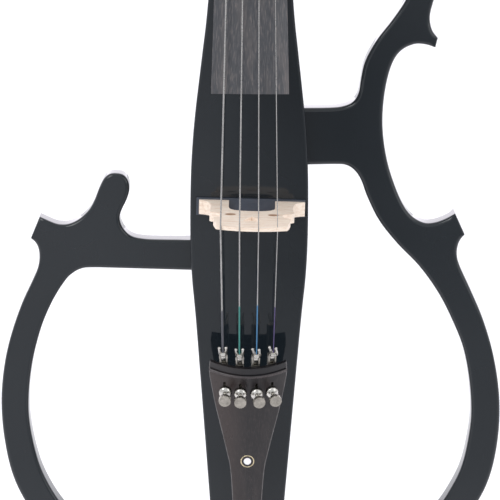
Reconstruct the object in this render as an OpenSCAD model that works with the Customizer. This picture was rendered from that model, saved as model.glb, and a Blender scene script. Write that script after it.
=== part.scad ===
// Skeleton-bodied electric cello, full size.
// Row frame: X to the viewer's right, Y into the instrument (its front faces -Y), Z up.
// The origin is the foot of the endpin's rubber tip. All sizes are in millimetres.

/* [Body] */
// Height of the spine's lower end over the floor, with the endpin as stored
spine_bottom = 130; // [128:1:140]
// Height of the bridge over the spine's lower end
bridge_stop = 360; // [355:1:365]
// Thickness of the spine, front to back
spine_depth = 46; // [44:1:48]
// Thickness of the two side frames
wing_depth = 22; // [18:1:24]
// Distance from the spine's front face back to the frames' front face
wing_inset = 10; // [8:1:12]

/* [Strings] */
// Vibrating length from the bridge to the nut, along the spine
string_length = 687; // [680:1:692]
// Height of the bridge's crown over the spine's front face
crown_height = 91.5; // [90:0.5:93]
// Distance between neighbouring strings at the bridge
bridge_spacing = 15.7; // [15:0.1:16]
// Distance between neighbouring strings at the nut
nut_spacing = 7.4; // [7:0.1:7.8]

/* [Neck] */
// Backward tilt of the neck against the spine, in degrees
neck_tilt = 7.72; // [7.5:0.01:7.9]
// Height of the fingerboard's surface at the nut, over the spine's front face
nut_height = -10; // [-11:0.5:-9]
// Length of the fingerboard
board_length = 584; // [580:1:586]
// Width of the fingerboard at the nut
board_nut_width = 33; // [32:0.5:34]
// Width of the fingerboard at its free end
board_end_width = 64.5; // [64:0.5:66]
// Radius of the fingerboard's playing surface
board_radius = 62; // [61:1:64]

/* [Tailpiece] */
// Tilt of the tailpiece against the spine, in degrees
tail_tilt = 12.35; // [12:0.05:12.6]
// Length of the tailpiece
tail_length = 216; // [210:1:217]
// Radius of the tailpiece's arch
tail_radius = 60; // [58:1:62]
// Distance from the bridge down to the tailpiece's upper end
after_length = 127.5; // [126:0.5:130]

/* [Fine tuners] */
// Distance from the tailpiece's upper end to the tuner screws
tuner_inset = 23; // [22.5:0.5:23.5]
// Radius of the knurled screw heads and nuts
tuner_head_r = 5.3; // [5:0.1:5.4]

/* [Endpin] */
// Radius of the endpin rod
rod_r = 4; // [4:0.5:4]
// Length of the endpin rod
rod_length = 360; // [355:1:362]
// Radius of the rubber tip
tip_r = 9; // [8:0.5:10]

/* [Controls] */
// Width of the control plate on the back
plate_width = 64; // [62:1:66]
// Length of the control plate
plate_length = 136; // [134:1:138]
// Bore radius of the instrument-lead socket
jack_bore_r = 3.2; // [3.2:0.05:3.3]
// Bore radius of the headphone socket
phones_bore_r = 1.8; // [1.8:0.05:1.9]

/* [Hidden] */
$fn = 48;

C = 0; G = 1; D = 2; A = 3;               // string numbers, from the viewer's left
string_r = [0.85, 0.65, 0.5, 0.38];
front = -spine_depth / 2;                 // Y of the spine's front face
back = spine_depth / 2;                   // Y of the spine's back face
bridge_z = spine_bottom + bridge_stop;
slack = 0.1;                              // play in glued and slotted joints

// ---- Curves ----

function catmull(a, b, c, d, t) =
    0.5 * (2 * b + (c - a) * t + (2 * a - 5 * b + 4 * c - d) * t * t
           + (3 * b - a - 3 * c + d) * t * t * t);

// An open smooth curve through every one of the points
function smooth(p, steps = 5) = concat(
    [for (i = [0:len(p) - 2], j = [0:steps - 1])
        catmull(p[max(i - 1, 0)], p[i], p[i + 1], p[min(i + 2, len(p) - 1)], j / steps)],
    [p[len(p) - 1]]);

function arc(centre, r, from, to, steps = 12) =
    [for (i = [0:steps]) let (a = from + (to - from) * i / steps)
        centre + r * [cos(a), sin(a)]];

function mirrored(p) = [for (i = [len(p) - 1:-1:0]) [-p[i][0], p[i][1]]];

// ---- Placing ----

// X across, Y up along the spine from the bridge, drawn as a plate of the given depth range
module upright(y_from, y_to)
    translate([0, y_to, bridge_z])
        rotate([90, 0, 0]) linear_extrude(y_to - y_from) children();

// A side view, drawn as [along the spine from the bridge, height over its front face]
module side_view(half_width)
    translate([half_width, front, bridge_z])
        rotate([0, -90, 0]) linear_extrude(2 * half_width)
            scale([1, -1]) children();

// A straight round bar between two points
module bar(a, b, r) {
    v = b - a;
    translate(a)
        rotate([0, acos(v[2] / norm(v)), atan2(v[1], v[0])])
            cylinder(h = norm(v), r = r);
}

// Round wire through the points, with a slightly swollen ball at each bend
module wire(p, r) {
    for (i = [0:len(p) - 2]) bar(p[i], p[i + 1], r);
    for (i = [1:len(p) - 2]) translate(p[i]) sphere(r = 1.04 * r);
}

function turn_x(p, a) = [p[0], p[1] * cos(a) - p[2] * sin(a), p[1] * sin(a) + p[2] * cos(a)];
function turn_y(p, a) = [p[0] * cos(a) + p[2] * sin(a), p[1], p[2] * cos(a) - p[0] * sin(a)];
function turn_z(p, a) = [p[0] * cos(a) - p[1] * sin(a), p[0] * sin(a) + p[1] * cos(a), p[2]];
function sag(half, r) = r - sqrt(r * r - half * half);

// ---- Spine ----

// Half the spine's width, from its lower end to the neck: [half width, height over the bridge]
spine_side = [
    [25, -360], [32.7, -260], [44.6, -110], [49, -62], [50.5, -25], [50.3, 20],
    [49, 52], [46.3, 84], [41, 130], [35.9, 178], [28.5, 290], [24, 402]
];
spine_top = 402;

module spine_outline() polygon(concat(smooth(spine_side), mirrored(smooth(spine_side))));

// Electronics bay and battery pocket, open to the back: [half width, lower end, upper end, depth]
bay = [25, 88, 146, 34];
pocket = [13.8, 33.4, 86, 20.3];

module back_pocket(p, half = 0)
    translate([-(half > 0 ? half : p[0]), back - p[3], bridge_z + p[1]])
        cube([2 * (half > 0 ? half : p[0]), p[3] + 1, p[2] - p[1]]);

// Tenon of each frame: [side, middle height over the bridge, height of the tenon]
tenon_depth = 12;
tenon_thickness = 12;
tenons = [[1, 59, 26], [1, -344, 12], [1, 389, 12], [-1, -45, 16], [-1, -344, 12]];
wing_middle = front + wing_inset + wing_depth / 2;

// Half width of the spine at a height between its points
function spine_half(z) = lookup(z, [for (p = spine_side) [p[1], p[0]]]);

module tenon(t, play)
    translate([t[0] * (spine_half(t[1]) - tenon_depth / 2 + 1), wing_middle, bridge_z + t[1]])
        cube([tenon_depth + 2 + 2 * play, tenon_thickness + 2 * play, t[2] + 2 * play],
             center = true);

neck_tenon_size = [20, 26, 24];           // width, depth and length in the spine's upper end
neck_tenon_y = -4;
module neck_tenon(play)
    translate([0, neck_tenon_y, bridge_z + spine_top - neck_tenon_size[2] / 2 + play])
        cube(neck_tenon_size + 2 * play * [1, 1, 1], center = true);

pickup_size = [93, 15.2, 5];              // across, along the spine, thickness
pickup_sunk = 2;
pickup_shift = 1.3;                       // the bridge stands a little to the right of the middle
bridge_shift = 2.3;
bridge_skew = 1;                          // and is turned by this many degrees
lead_r = 1;
lead_x = 20;
lead_y = -4;

module pickup_block(play)
    translate([pickup_shift, front + pickup_sunk - pickup_size[2] / 2 + play / 2, bridge_z])
        rotate([0, bridge_skew, 0])
        cube([pickup_size[0] + 2 * play, pickup_size[2] + play, pickup_size[1] + 2 * play],
             center = true);

plug_r = 13;
plug_length = 30;
rod_bore_r = 5;
rod_bore_top = bridge_z - 14;

module spine() color([0.09, 0.1, 0.11]) difference() {
    upright(front, back) spine_outline();
    back_pocket(bay);
    back_pocket(pocket);
    back_pocket([8, pocket[2] - 1, bay[1] + 1, pocket[3]]);
    pickup_block(slack);
    translate([lead_x, front, bridge_z]) rotate([-90, 0, 0])
        cylinder(h = lead_y - front + 2, r = lead_r + 1);
    translate([lead_x, lead_y, bridge_z]) cylinder(h = bay[1] + 1, r = lead_r + 1);
    translate([0, 0, spine_bottom - 1]) cylinder(h = plug_length + 1 + slack, r = plug_r + slack);
    translate([0, 0, spine_bottom]) cylinder(h = rod_bore_top - spine_bottom, r = rod_bore_r);
    for (t = tenons) tenon(t, slack);
    neck_tenon(slack);
    for (p = plate_screw_places) plate_screw_place(p) cylinder(h = 30, r = 1.45, center = true);
}

// ---- Side frames ----

upper_bout = [
    [15, 402], [52, 401], [84, 396], [116, 385], [143, 366], [162, 339], [171, 308],
    [174, 276], [171.5, 245], [166, 215], [160, 192], [155, 177], [152, 163], [154, 152], [159, 145]
];
waist = [
    [157, 137], [148, 139.3], [139, 139.3], [129, 134.5], [122, 125.5], [117, 110], [114, 90],
    [113.5, 69], [116, 48], [121, 28], [130, 5], [139, -8.5], [150, -15], [160, -14.8], [170, -11],
    [177, -6.4]
];
right_lower_bout = [
    [185.7, -25], [181, -32.5], [179.5, -42], [182, -52.5], [192, -74], [203, -99], [212, -127],
    [218, -157], [220.2, -185], [218.5, -214], [213.2, -241], [203.6, -264], [184, -294], [160, -320],
    [128, -341], [90, -353], [54, -357.5], [15, -358]
];
right_loop = [
    [15, -331], [54, -331], [90, -327], [121, -315], [148, -295], [167.6, -271], [178.5, -253.5],
    [187, -235], [192, -214], [195, -187], [193, -157], [187, -127], [177, -102], [164, -77],
    [147, -53.5], [128, -34], [112, -14], [101.5, 6.5], [96, 21], [90.5, 29.5], [83, 34.5],
    [72, 35.3], [40, 34.4]
];
upper_loop = [
    [40, 84], [68, 84.5], [80, 86], [88, 90], [92.5, 98], [94.3, 110], [97.6, 125], [107, 142.7],
    [120, 160], [131.5, 178], [141, 201], [147.5, 231], [149.5, 262], [147, 292], [139, 321],
    [124, 345], [103, 361], [78, 370.5], [50, 375.5], [15, 376.5]
];

horn = [
    [-40, -31.6], [-76, -31.6], [-91, -31], [-101, -28.8], [-107, -23.8], [-110.5, -17.5],
    [-111.2, -11], [-108.8, -4], [-105, 4], [-103, 12], [-104, 19.6], [-107.8, 24.6],
    [-113.5, 26.2], [-119.8, 25.6], [-125, 21.3], [-129.6, 12], [-133, 3], [-138, -6],
    [-146, -13.8], [-154, -18], [-161, -19], [-168, -17.7], [-180.4, -12.3]
];
left_lower_bout = [
    [-188, -31], [-183, -37], [-181, -45], [-182, -56], [-187, -68.5], [-196, -88], [-204.4, -111.5],
    [-210.6, -135], [-214.3, -160], [-215.2, -184], [-213, -211], [-207.2, -240], [-196.8, -265],
    [-178, -294], [-155, -320], [-124, -341], [-88, -353], [-54, -357.5], [-15, -358]
];
left_loop = [
    [-15, -331], [-54, -331], [-86, -327.5], [-116, -315.5], [-141, -296], [-161.6, -272],
    [-172.2, -256], [-181, -237.5], [-186.5, -218.5], [-190.2, -198], [-191.3, -180], [-190, -158],
    [-186, -133.5], [-178.5, -107], [-168.8, -85], [-158.5, -68.5], [-152, -62], [-145, -58.2],
    [-136, -57], [-110, -57.3], [-80, -58], [-40, -58.8]
];

module wing(side, outline) {
    upright(wing_middle - wing_depth / 2, wing_middle + wing_depth / 2) difference() {
        polygon(outline);
        spine_outline();
    }
    intersection() {
        union() for (t = tenons) if (t[0] == side) tenon(t, 0);
        upright(front, back) spine_outline();
    }
}

module left_wing() color([0.1, 0.11, 0.12])
    wing(-1, concat(smooth(horn), smooth(left_lower_bout), smooth(left_loop)));

module right_wing() color([0.1, 0.11, 0.12])
    wing(1, concat(smooth(upper_bout), smooth(waist), smooth(right_lower_bout),
                   smooth(right_loop), smooth(upper_loop)));

// ---- Neck, pegbox and scroll ----

// The neck's own frame: Z runs up the neck from the nut, Y points to its back,
// and the middle of the fingerboard's surface lies on Y = 0
neck_origin = [0, front - nut_height, bridge_z + string_length];
function neck_at(p) = neck_origin + turn_x(p, -neck_tilt);
module neck_frame() translate(neck_origin) rotate([-neck_tilt, 0, 0]) children();

// A side view in that frame, drawn as [up the neck, forwards]
module neck_side(half_width)
    translate([half_width, 0, 0]) rotate([0, -90, 0]) linear_extrude(2 * half_width)
        scale([1, -1]) children();

board_edge = 6;                           // thickness of the fingerboard at its edges
function board_half(z) =
    (board_nut_width - z * (board_end_width - board_nut_width) / board_length) / 2;
// Depth of the fingerboard's underside below its surface
under_nut = sag(board_nut_width / 2, board_radius) + board_edge;
under_end = sag(board_end_width / 2, board_radius) + board_edge;
function under(z) = under_nut - z * (under_end - under_nut) / board_length;

neck_back_nut = 29;                       // depth of the neck's back below the board's surface
neck_back_heel = 34;
heel_start = -240;                        // where the neck runs into its heel
nut_length = 9;

// Half-round section of the neck's shaft
module neck_section(z, back_depth) translate([0, 0, z]) linear_extrude(0.5) intersection() {
    translate([0, under(z)]) scale([board_half(z), back_depth - under(z)]) circle(r = 1, $fn = 40);
    translate([-40, under(z) + 0.05]) square([80, 60]);
}

// The heel in the spine's frame: [along the spine from the bridge, height over its front face]
heel_foot = 384;
heel_top = 451;
heel_curve = [for (i = [0:8]) let (a = 90 * i / 8)
    [heel_top - 43 * cos(a), 37.5 * sin(a) - spine_depth]];

module heel() intersection() {
    difference() {
        side_view(24) polygon(concat([[heel_top, 30], [heel_foot, 30], [heel_foot, 0],
                                      [spine_top, 0], [spine_top, -spine_depth]], heel_curve));
        neck_frame() neck_side(60) polygon([
            [0, -under_nut], [-board_length, -under_end], [-board_length, 60], [0, 60]]);
    }
    upright(-60, 60) polygon([[-24, heel_foot], [-23.3, heel_top + 1], [23.3, heel_top + 1],
                              [24, heel_foot]]);
}

// Pegbox in the neck's side view: [up the neck, forwards]
pegbox_front = [[-4, -under_nut], [nut_length, -under_nut], [nut_length, -4], [60, -14.5],
                [100, -23], [122, -29]];
pegbox_back = smooth([[159, -53], [140, -54.2], [118, -55.5], [90, -55.5], [60, -52.5],
                      [34, -47], [16, -39.5], [4, -31.5], [-4, -29.1]], 4);
pegbox_channel = [[12, 10], [12, -22], [26, -36], [60, -44], [100, -47.5], [122, -46],
                  [128, -38], [122, 10]];
pegbox_bottom_half = 21;                  // half width at the nut
pegbox_taper = 8 / 168;
channel_bottom_half = 12.3;
channel_taper = 4.1 / 130;
function pegbox_half(z) = pegbox_bottom_half - (z + 6) * pegbox_taper;

module pegbox_plan(z_from, z_to, half_from, half_to)
    translate([0, 70, 0]) rotate([90, 0, 0]) linear_extrude(140)
        polygon([[-half_from, z_from], [half_from, z_from], [half_to, z_to], [-half_to, z_to]]);

scroll_eye = [159, -19];
scroll_r = 34;                            // radius where the volute leaves the pegbox's back
scroll_turns = 2.6;
eye_r = 7;
eye_half = 31;
volute_start_half = 12.5;
volute_steps = 26;                        // stretches that the volute is built from

function volute_r(turn) = scroll_r * pow(eye_r / scroll_r, turn / scroll_turns);
function volute_half(turn) =
    volute_start_half + (eye_half - volute_start_half) * pow(turn / scroll_turns, 1.4);
// The volute's edge, from the pegbox's back over the top and round to the eye
function volute(turn) = scroll_eye + volute_r(turn) * [sin(360 * turn), -cos(360 * turn)];

module scroll() {
    for (i = [0:volute_steps - 1]) {
        from = i * scroll_turns / volute_steps;
        to = (i + 1) * scroll_turns / volute_steps;
        neck_side(volute_half(to))
            polygon(concat([scroll_eye], [for (k = [0:3]) volute(from + (to - from) * k / 3)]));
    }
    translate([-eye_half - 1, -scroll_eye[1], scroll_eye[0]]) rotate([0, 90, 0])
        cylinder(h = 2 * (eye_half + 1), r = eye_r + 1);
}

module pegbox() difference() {
    intersection() {
        neck_side(30) polygon(concat(pegbox_front, [scroll_eye], pegbox_back));
        pegbox_plan(-6, 162, pegbox_half(-6), pegbox_half(162));
    }
    intersection() {
        neck_side(20) polygon(pegbox_channel);
        pegbox_plan(0, 130, channel_bottom_half, channel_bottom_half - 130 * channel_taper);
    }
}

module neck() color([0.09, 0.1, 0.11]) {
    difference() {
        neck_frame() {
            hull() {
                neck_section(heel_start, neck_back_heel);
                neck_section(-2, neck_back_nut);
            }
            pegbox();
            scroll();
        }
        for (s = [C, G, D, A]) peg_place(s)
            translate([0, 0, -30]) cylinder(h = 70, r1 = peg_r(-30) + 0.05, r2 = peg_r(40) + 0.05);
    }
    heel();
    neck_tenon(0);
}

// ---- Fingerboard, nut and saddle ----

hollow_r = 40;                            // scoop under the fingerboard's free end
hollow_start = -310;
module fingerboard() color([0.28, 0.28, 0.3]) neck_frame() difference() {
    intersection() {
        translate([0, board_radius, -board_length]) cylinder(h = board_length, r = board_radius);
        translate([0, 40, 0]) rotate([90, 0, 0]) linear_extrude(50)
            polygon([[-board_end_width / 2, -board_length], [-board_nut_width / 2, 0],
                     [board_nut_width / 2, 0], [board_end_width / 2, -board_length]]);
        neck_side(50) polygon([[0, 5], [-board_length, 5], [-board_length, -under_end],
                               [0, -under_nut]]);
    }
    bar([0, under(hollow_start) + hollow_r - 0.5, hollow_start],
        [0, under_end + hollow_r - 8, -board_length - 1], hollow_r);
}

nut_rise = 1.4;                           // height of the nut over the fingerboard
module nut() color([0.1, 0.1, 0.1]) difference() {
    neck_frame() intersection() {
        translate([-board_nut_width / 2, -nut_rise, 0])
            cube([board_nut_width, under_nut + nut_rise, nut_length]);
        translate([0, board_radius - nut_rise, -1]) cylinder(h = nut_length + 2, r = board_radius);
    }
    for (s = [C, G, D, A]) string_path(s, string_r[s] + 0.04);
}

saddle_width = 42;
saddle_length = 11;
saddle_height = 11;
saddle_r = 5;
module saddle() color([0.1, 0.1, 0.1]) side_view(saddle_width / 2)
    polygon(concat([[-bridge_stop, 0], [saddle_length - bridge_stop, 0]],
                   arc([saddle_length / 2 - bridge_stop, saddle_height - saddle_r], saddle_r, 0, 180)));

// ---- Bridge and pickup ----

bridge_base = pickup_size[2] - pickup_sunk;
bridge_tall = crown_height - bridge_base;
crown_r = 60;
foot_thickness = 12.2;
crown_thickness = 2.8;
bridge_lean = 3.6;                        // how far the crown's lower face leans up the spine

// Half of the outline, from the middle of the arch round to the crown: [across, up]
bridge_half = concat(
    smooth([[0, 35], [8, 34.5], [13.5, 33], [17.4, 30.4], [19.2, 26.6], [19.8, 20], [19.9, 9],
            [19.7, 0]], 4),
    smooth([[45, 0], [44.9, 3.4], [41, 5.4], [37.2, 9], [35.4, 15], [34.7, 23], [35, 30],
            [35.7, 35.5], [35.4, 39.4]], 4),
    smooth([[33.8, 42], [29.8, 42.8], [26.6, 45.4], [25.4, 49.2], [26.6, 53], [29.2, 55.2],
            [32, 56]], 4),
    [[32.2, 59.5], [31.4, 68], [30.2, 77], [29.3, bridge_tall - sag(29.3, crown_r)]],
    [for (x = [26:-2:2]) [x, bridge_tall - sag(x, crown_r)]]);

module heart(size) {
    for (m = [-1, 1]) translate([m * size * 0.48, 0]) circle(r = size * 0.52);
    polygon(size * [[-0.9, -0.3], [0, 0.1], [0.9, -0.3], [0, -1.7]]);
}

module bridge() color([0.87, 0.74, 0.6]) difference() {
    intersection() {
        translate([bridge_shift, front - bridge_base, bridge_z]) rotate([0, bridge_skew, 0])
            translate([0, 0, -15]) linear_extrude(30) scale([1, -1]) difference() {
                polygon(concat(bridge_half, mirrored(bridge_half)));
                translate([0, 64]) heart(7);
                for (m = [-1, 1]) translate([m * 18, 46.5]) scale([1.5, 1]) circle(r = 2.7);
            }
        translate([0, 0, bridge_z]) rotate([0, bridge_skew, 0]) translate([0, 0, -bridge_z])
            side_view(60) polygon([
            [-foot_thickness / 2, bridge_base - 1], [foot_thickness / 2, bridge_base - 1],
            [foot_thickness / 2, bridge_base + 5],
            [bridge_lean + crown_thickness - foot_thickness / 2, crown_height + 1],
            [bridge_lean - foot_thickness / 2, crown_height + 1]]);
    }
    for (s = [C, G, D, A]) string_path(s, string_r[s] + 0.04);
}

module pickup_bar() color([0.3, 0.33, 0.38]) pickup_block(0);

module pickup_lead() color([0.15, 0.15, 0.15]) wire([
    [lead_x, front + pickup_sunk + slack, bridge_z], [lead_x, lead_y, bridge_z],
    [lead_x, lead_y, bridge_z + 108], [lead_x, board_y - 0.05, bridge_z + 108]], lead_r);

// ---- Tailpiece ----

// The tailpiece's frame: Z runs up it from its upper end, Y points to its back,
// and the middle of its upper surface lies on Y = 0
tail_height = 61;                         // height of its upper end over the spine's front face
tail_origin = [0, front - tail_height, bridge_z - after_length];
function tail_at(p) = tail_origin + turn_x(p, tail_tilt);
module tail_frame() translate(tail_origin) rotate([tail_tilt, 0, 0]) children();

module tail_side(half_width)
    translate([half_width, 0, 0]) rotate([0, -90, 0]) linear_extrude(2 * half_width)
        scale([1, -1]) children();

module tail_plan(depth)
    translate([0, depth, 0]) rotate([90, 0, 0]) linear_extrude(depth + 10) children();

tail_half = 32.2;
tail_horn = 2.6;                          // how far the corners stand up over the middle
tail_hollow_r = (tail_half * tail_half + tail_horn * tail_horn) / (2 * tail_horn);
tail_edge = smooth([[9, -tail_length], [11.6, 6 - tail_length], [12, -195], [11.9, -165],
                    [12.4, -130], [14.5, -97], [17.3, -82], [22, -61], [27.4, -38], [31.2, -18],
                    [32.9, -6], [tail_half, tail_horn]], 4);

// The concave upper edge, moved down by some distance
function tail_top(down) = [for (i = [0:16]) let (x = tail_half * (1 - i / 8))
    [x, sag(x, tail_hollow_r) - down]];

fret_inset = 6;
fret_width = 3;
fret_rise = 1.3;
inlay_down = 88.5;
inlay_r = 5.9;
inlay_ring_width = 0.9;
inlay_dot_r = 3.25;
inlay_depth = 1.5;
cord_r = 1.25;
cord_half = 4.5;                          // half the distance between the cord's two strands
cord_deep = 4.6;                          // depth of the strands in the tailpiece's lower end
slot_width = 2.2;                         // a string slot above each tuner's screw
slot_length = 9;
knot = [190, 196];                        // pocket under the tailpiece where the cord crosses

module tail_arch(rise)
    translate([0, tail_radius - rise, -tail_length - 1])
        cylinder(h = tail_length + 20, r = tail_radius);

module at_inlay() translate([0, 10, -inlay_down]) rotate([90, 0, 0]) children();

module inlay_pit(play) difference() {
    at_inlay() {
        difference() {
            cylinder(h = 20, r = inlay_r);
            translate([0, 0, -1]) cylinder(h = 22, r = inlay_r - inlay_ring_width);
        }
        cylinder(h = 20, r = inlay_dot_r);
    }
    translate([0, inlay_depth + play, 0]) tail_arch(0);
}

module tailpiece() color([0.2, 0.19, 0.2]) tail_frame() difference() {
    intersection() {
        union() {
            tail_arch(0);
            intersection() {
                tail_arch(fret_rise);
                tail_plan(12) polygon(concat(tail_top(fret_inset),
                    [for (p = tail_top(fret_inset + fret_width)) [-p[0], p[1]]]));
            }
        }
        tail_plan(20) polygon(concat(tail_edge, tail_top(0), mirrored(tail_edge)));
        tail_side(40) polygon([[20, 20], [20, -14.5], [-85, -10.5], [-tail_length, -8.6],
                               [-tail_length, 20]]);
    }
    translate([0, tail_radius + 6, -100]) cylinder(h = 130, r = tail_radius + 1.5);
    inlay_pit(0);
    for (s = [C, G, D, A]) tuner_in_tail(s) {
        turned(3.3, -20, 20);
        turned(tuner_head_r + 0.4, -20, seat_y);
        translate([-slot_width / 2, -20, 0]) cube([slot_width, 40, slot_length]);
    }
    for (m = [-1, 1]) translate([m * cord_half, cord_deep, -tail_length - 1])
        cylinder(h = tail_length + 1 - knot[0], r = cord_r + 0.1);
    translate([-cord_half - 2, 3, -knot[1]]) cube([2 * cord_half + 4, 20, knot[1] - knot[0]]);
}

module inlay_ring() color([0.72, 0.62, 0.38]) tail_frame() intersection() {
    difference() {
        tail_arch(0);
        translate([0, inlay_depth, 0]) tail_arch(0);
    }
    at_inlay() difference() {
        cylinder(h = 20, r = inlay_r);
        translate([0, 0, -1]) cylinder(h = 22, r = inlay_r - inlay_ring_width);
    }
}

module inlay_dot() color([0.86, 0.85, 0.88]) tail_frame() intersection() {
    difference() {
        tail_arch(0);
        translate([0, inlay_depth, 0]) tail_arch(0);
    }
    at_inlay() cylinder(h = 20, r = inlay_dot_r);
}

// ---- Endpin ----

groove_r = 10;                            // groove in the plug that holds the tail cord
groove_height = 4.5;
flange_r = 15;
flange_height = 6;
ferrule_r = 8.5;
ferrule_height = 10.5;
flange_z = spine_bottom - groove_height - flange_height;
ferrule_z = flange_z - ferrule_height;
cord_z = spine_bottom - cord_r - 1;
cord_loop_r = groove_r + cord_r + 0.3;

module tail_cord() color([0.12, 0.12, 0.12]) {
    saddle_z = saddle_length / 2 - bridge_stop;
    for (m = [-1, 1]) wire([
        tail_at([m * cord_half, cord_deep, -(knot[0] + knot[1]) / 2]),
        tail_at([m * cord_half, cord_deep, -tail_length - 3]),
        [m * cord_half, front - saddle_height - cord_r - 0.65, bridge_z + saddle_z - 1.7],
        [m * (cord_half + 0.5), front - saddle_height + 2.7, spine_bottom - cord_r - 1],
        [m * cord_loop_r, 0, cord_z]], cord_r);
    for (m = [-1, 1]) translate(tail_at([m * cord_half, cord_deep, -(knot[0] + knot[1]) / 2]))
        sphere(r = 1.04 * cord_r);
    for (m = [-1, 1]) translate([m * cord_loop_r, 0, cord_z]) sphere(r = 1.04 * cord_r);
    bar(tail_at([-cord_half, cord_deep, -(knot[0] + knot[1]) / 2]),
        tail_at([cord_half, cord_deep, -(knot[0] + knot[1]) / 2]), cord_r);
    translate([0, 0, cord_z]) rotate_extrude(angle = 180) translate([cord_loop_r, 0])
        circle(r = cord_r);
}

module endpin_plug() color([0.1, 0.1, 0.1]) difference() {
    translate([0, 0, flange_z]) {
        cylinder(h = flange_height, r = flange_r);
        cylinder(h = flange_height + groove_height + 1, r = groove_r);
        translate([0, 0, flange_height + groove_height]) cylinder(h = plug_length, r = plug_r);
    }
    cylinder(h = 300, r = rod_r + 0.05);
}

thumb_z = ferrule_z + ferrule_height / 2;
thumb_r = 2;
module thumb_axis() translate([0, 0, thumb_z]) rotate([90, 0, 0]) children();

module endpin_ferrule() color([0.7, 0.7, 0.7]) difference() {
    translate([0, 0, ferrule_z]) cylinder(h = ferrule_height, r = ferrule_r);
    cylinder(h = 300, r = rod_r + 0.05);
    thumb_axis() cylinder(h = 20, r = thumb_r + 0.05);
}

module endpin_thumbscrew() color([0.7, 0.7, 0.7]) thumb_axis() {
    translate([0, 0, rod_r + 0.3]) cylinder(h = 8, r = thumb_r);
    translate([0, 0, ferrule_r + 2.5]) cylinder(h = 5.3, r = 3.5);
    translate([0, 0, ferrule_r + 7.2]) linear_extrude(7) knurled(6.5, 20, 0.7);
}

rod_foot = 8;
module endpin_rod() color([0.75, 0.75, 0.76])
    translate([0, 0, rod_foot]) cylinder(h = rod_length, r = rod_r);

tip_height = 20;
module endpin_tip() color([0.06, 0.06, 0.06]) rotate_extrude()
    polygon(concat([[rod_r + 0.02, tip_height], [rod_r + 0.02, rod_foot], [0, rod_foot], [0, 0],
                    [tip_r - 2, 0]],
                   arc([tip_r - 2, 2], 2, -90, 0, 4), arc([tip_r - 3, 7], 3, 0, 50, 4),
                   [[6.2, tip_height]]));

// ---- Strings ----

function bridge_string(s) = let (x = (s - 1.5) * bridge_spacing)
    [x, front - crown_height + sag(x, crown_r) - string_r[s] * 0.3,
     bridge_z + bridge_lean + (crown_thickness - foot_thickness) / 2];
function nut_string(s, z) = let (x = (s - 1.5) * nut_spacing)
    neck_at([x, sag(x, board_radius) - nut_rise - string_r[s] * 0.2, z]);

// Pegs, from the viewer's left: [side, distance up the neck from the nut, forwards]
pegs = [[-1, 26, -24], [-1, 82, -34], [1, 106, -37.5], [1, 50, -28.5]];
peg_turn = [20, -28, 35, -15];            // how each peg's head stands
winding_start = [7, 4.5, 4.5, 7];         // where the string meets the peg, from its middle
function peg_r(z) = 6.5 + 0.02 * z;
function string_turn_r(s) = peg_r(winding_start[s]) + 0.15 + string_r[s];

module peg_place(s) neck_frame() translate([0, -pegs[s][2], pegs[s][1]])
    rotate([0, 90 * pegs[s][0], 0]) children();

// Where the string touches its peg, in the neck's side view
function touch(s) =
    let (centre = [pegs[s][1], pegs[s][2]],
         from = [nut_length + 0.5, nut_rise] - centre,
         a = atan2(from[1], from[0]) - acos(string_turn_r(s) / norm(from)))
    centre + string_turn_r(s) * [cos(a), sin(a)];

tuner_string_z = 40.9;                    // where the string leaves its claw
module string_path(s, r) wire([
    tuner_at(s, [0, claw_y, tuner_string_z]), bridge_string(s), nut_string(s, nut_length + 0.5),
    neck_at([pegs[s][0] * winding_start[s], -touch(s)[1], touch(s)[0]])], r);

module string_c() color([0.25, 0.24, 0.28]) string_path(C, string_r[C]);
module string_g() color([0.1, 0.45, 0.42]) string_path(G, string_r[G]);
module string_d() color([0.15, 0.35, 0.6]) string_path(D, string_r[D]);
module string_a() color([0.25, 0.18, 0.4]) string_path(A, string_r[A]);

ball_z = 34.2;
ball_r = 2;
module string_end(s) tuner_place(s) {
    translate([-2.2, claw_y, ball_z]) rotate([0, 90, 0]) cylinder(h = 4.4, r = ball_r);
    translate([0, claw_y, ball_z]) cylinder(h = tuner_string_z - 0.3 - ball_z, r = string_r[s]);
}
module string_end_c() color([0.25, 0.24, 0.28]) string_end(C);
module string_end_g() color([0.1, 0.45, 0.42]) string_end(G);
module string_end_d() color([0.15, 0.35, 0.6]) string_end(D);
module string_end_a() color([0.25, 0.18, 0.4]) string_end(A);

winding_rings = 5;
module winding(s) peg_place(s) rotate_extrude()
    for (k = [1:winding_rings])
        translate([peg_r(winding_start[s]) + 0.03 + string_r[s],
                   winding_start[s] - 0.4 - (2 + 1.9 * (k - 1)) * string_r[s]])
            circle(r = string_r[s]);
module winding_c() color([0.6, 0.6, 0.62]) winding(C);
module winding_g() color([0.6, 0.6, 0.62]) winding(G);
module winding_d() color([0.6, 0.6, 0.62]) winding(D);
module winding_a() color([0.6, 0.6, 0.62]) winding(A);

// ---- Pegs ----

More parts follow.
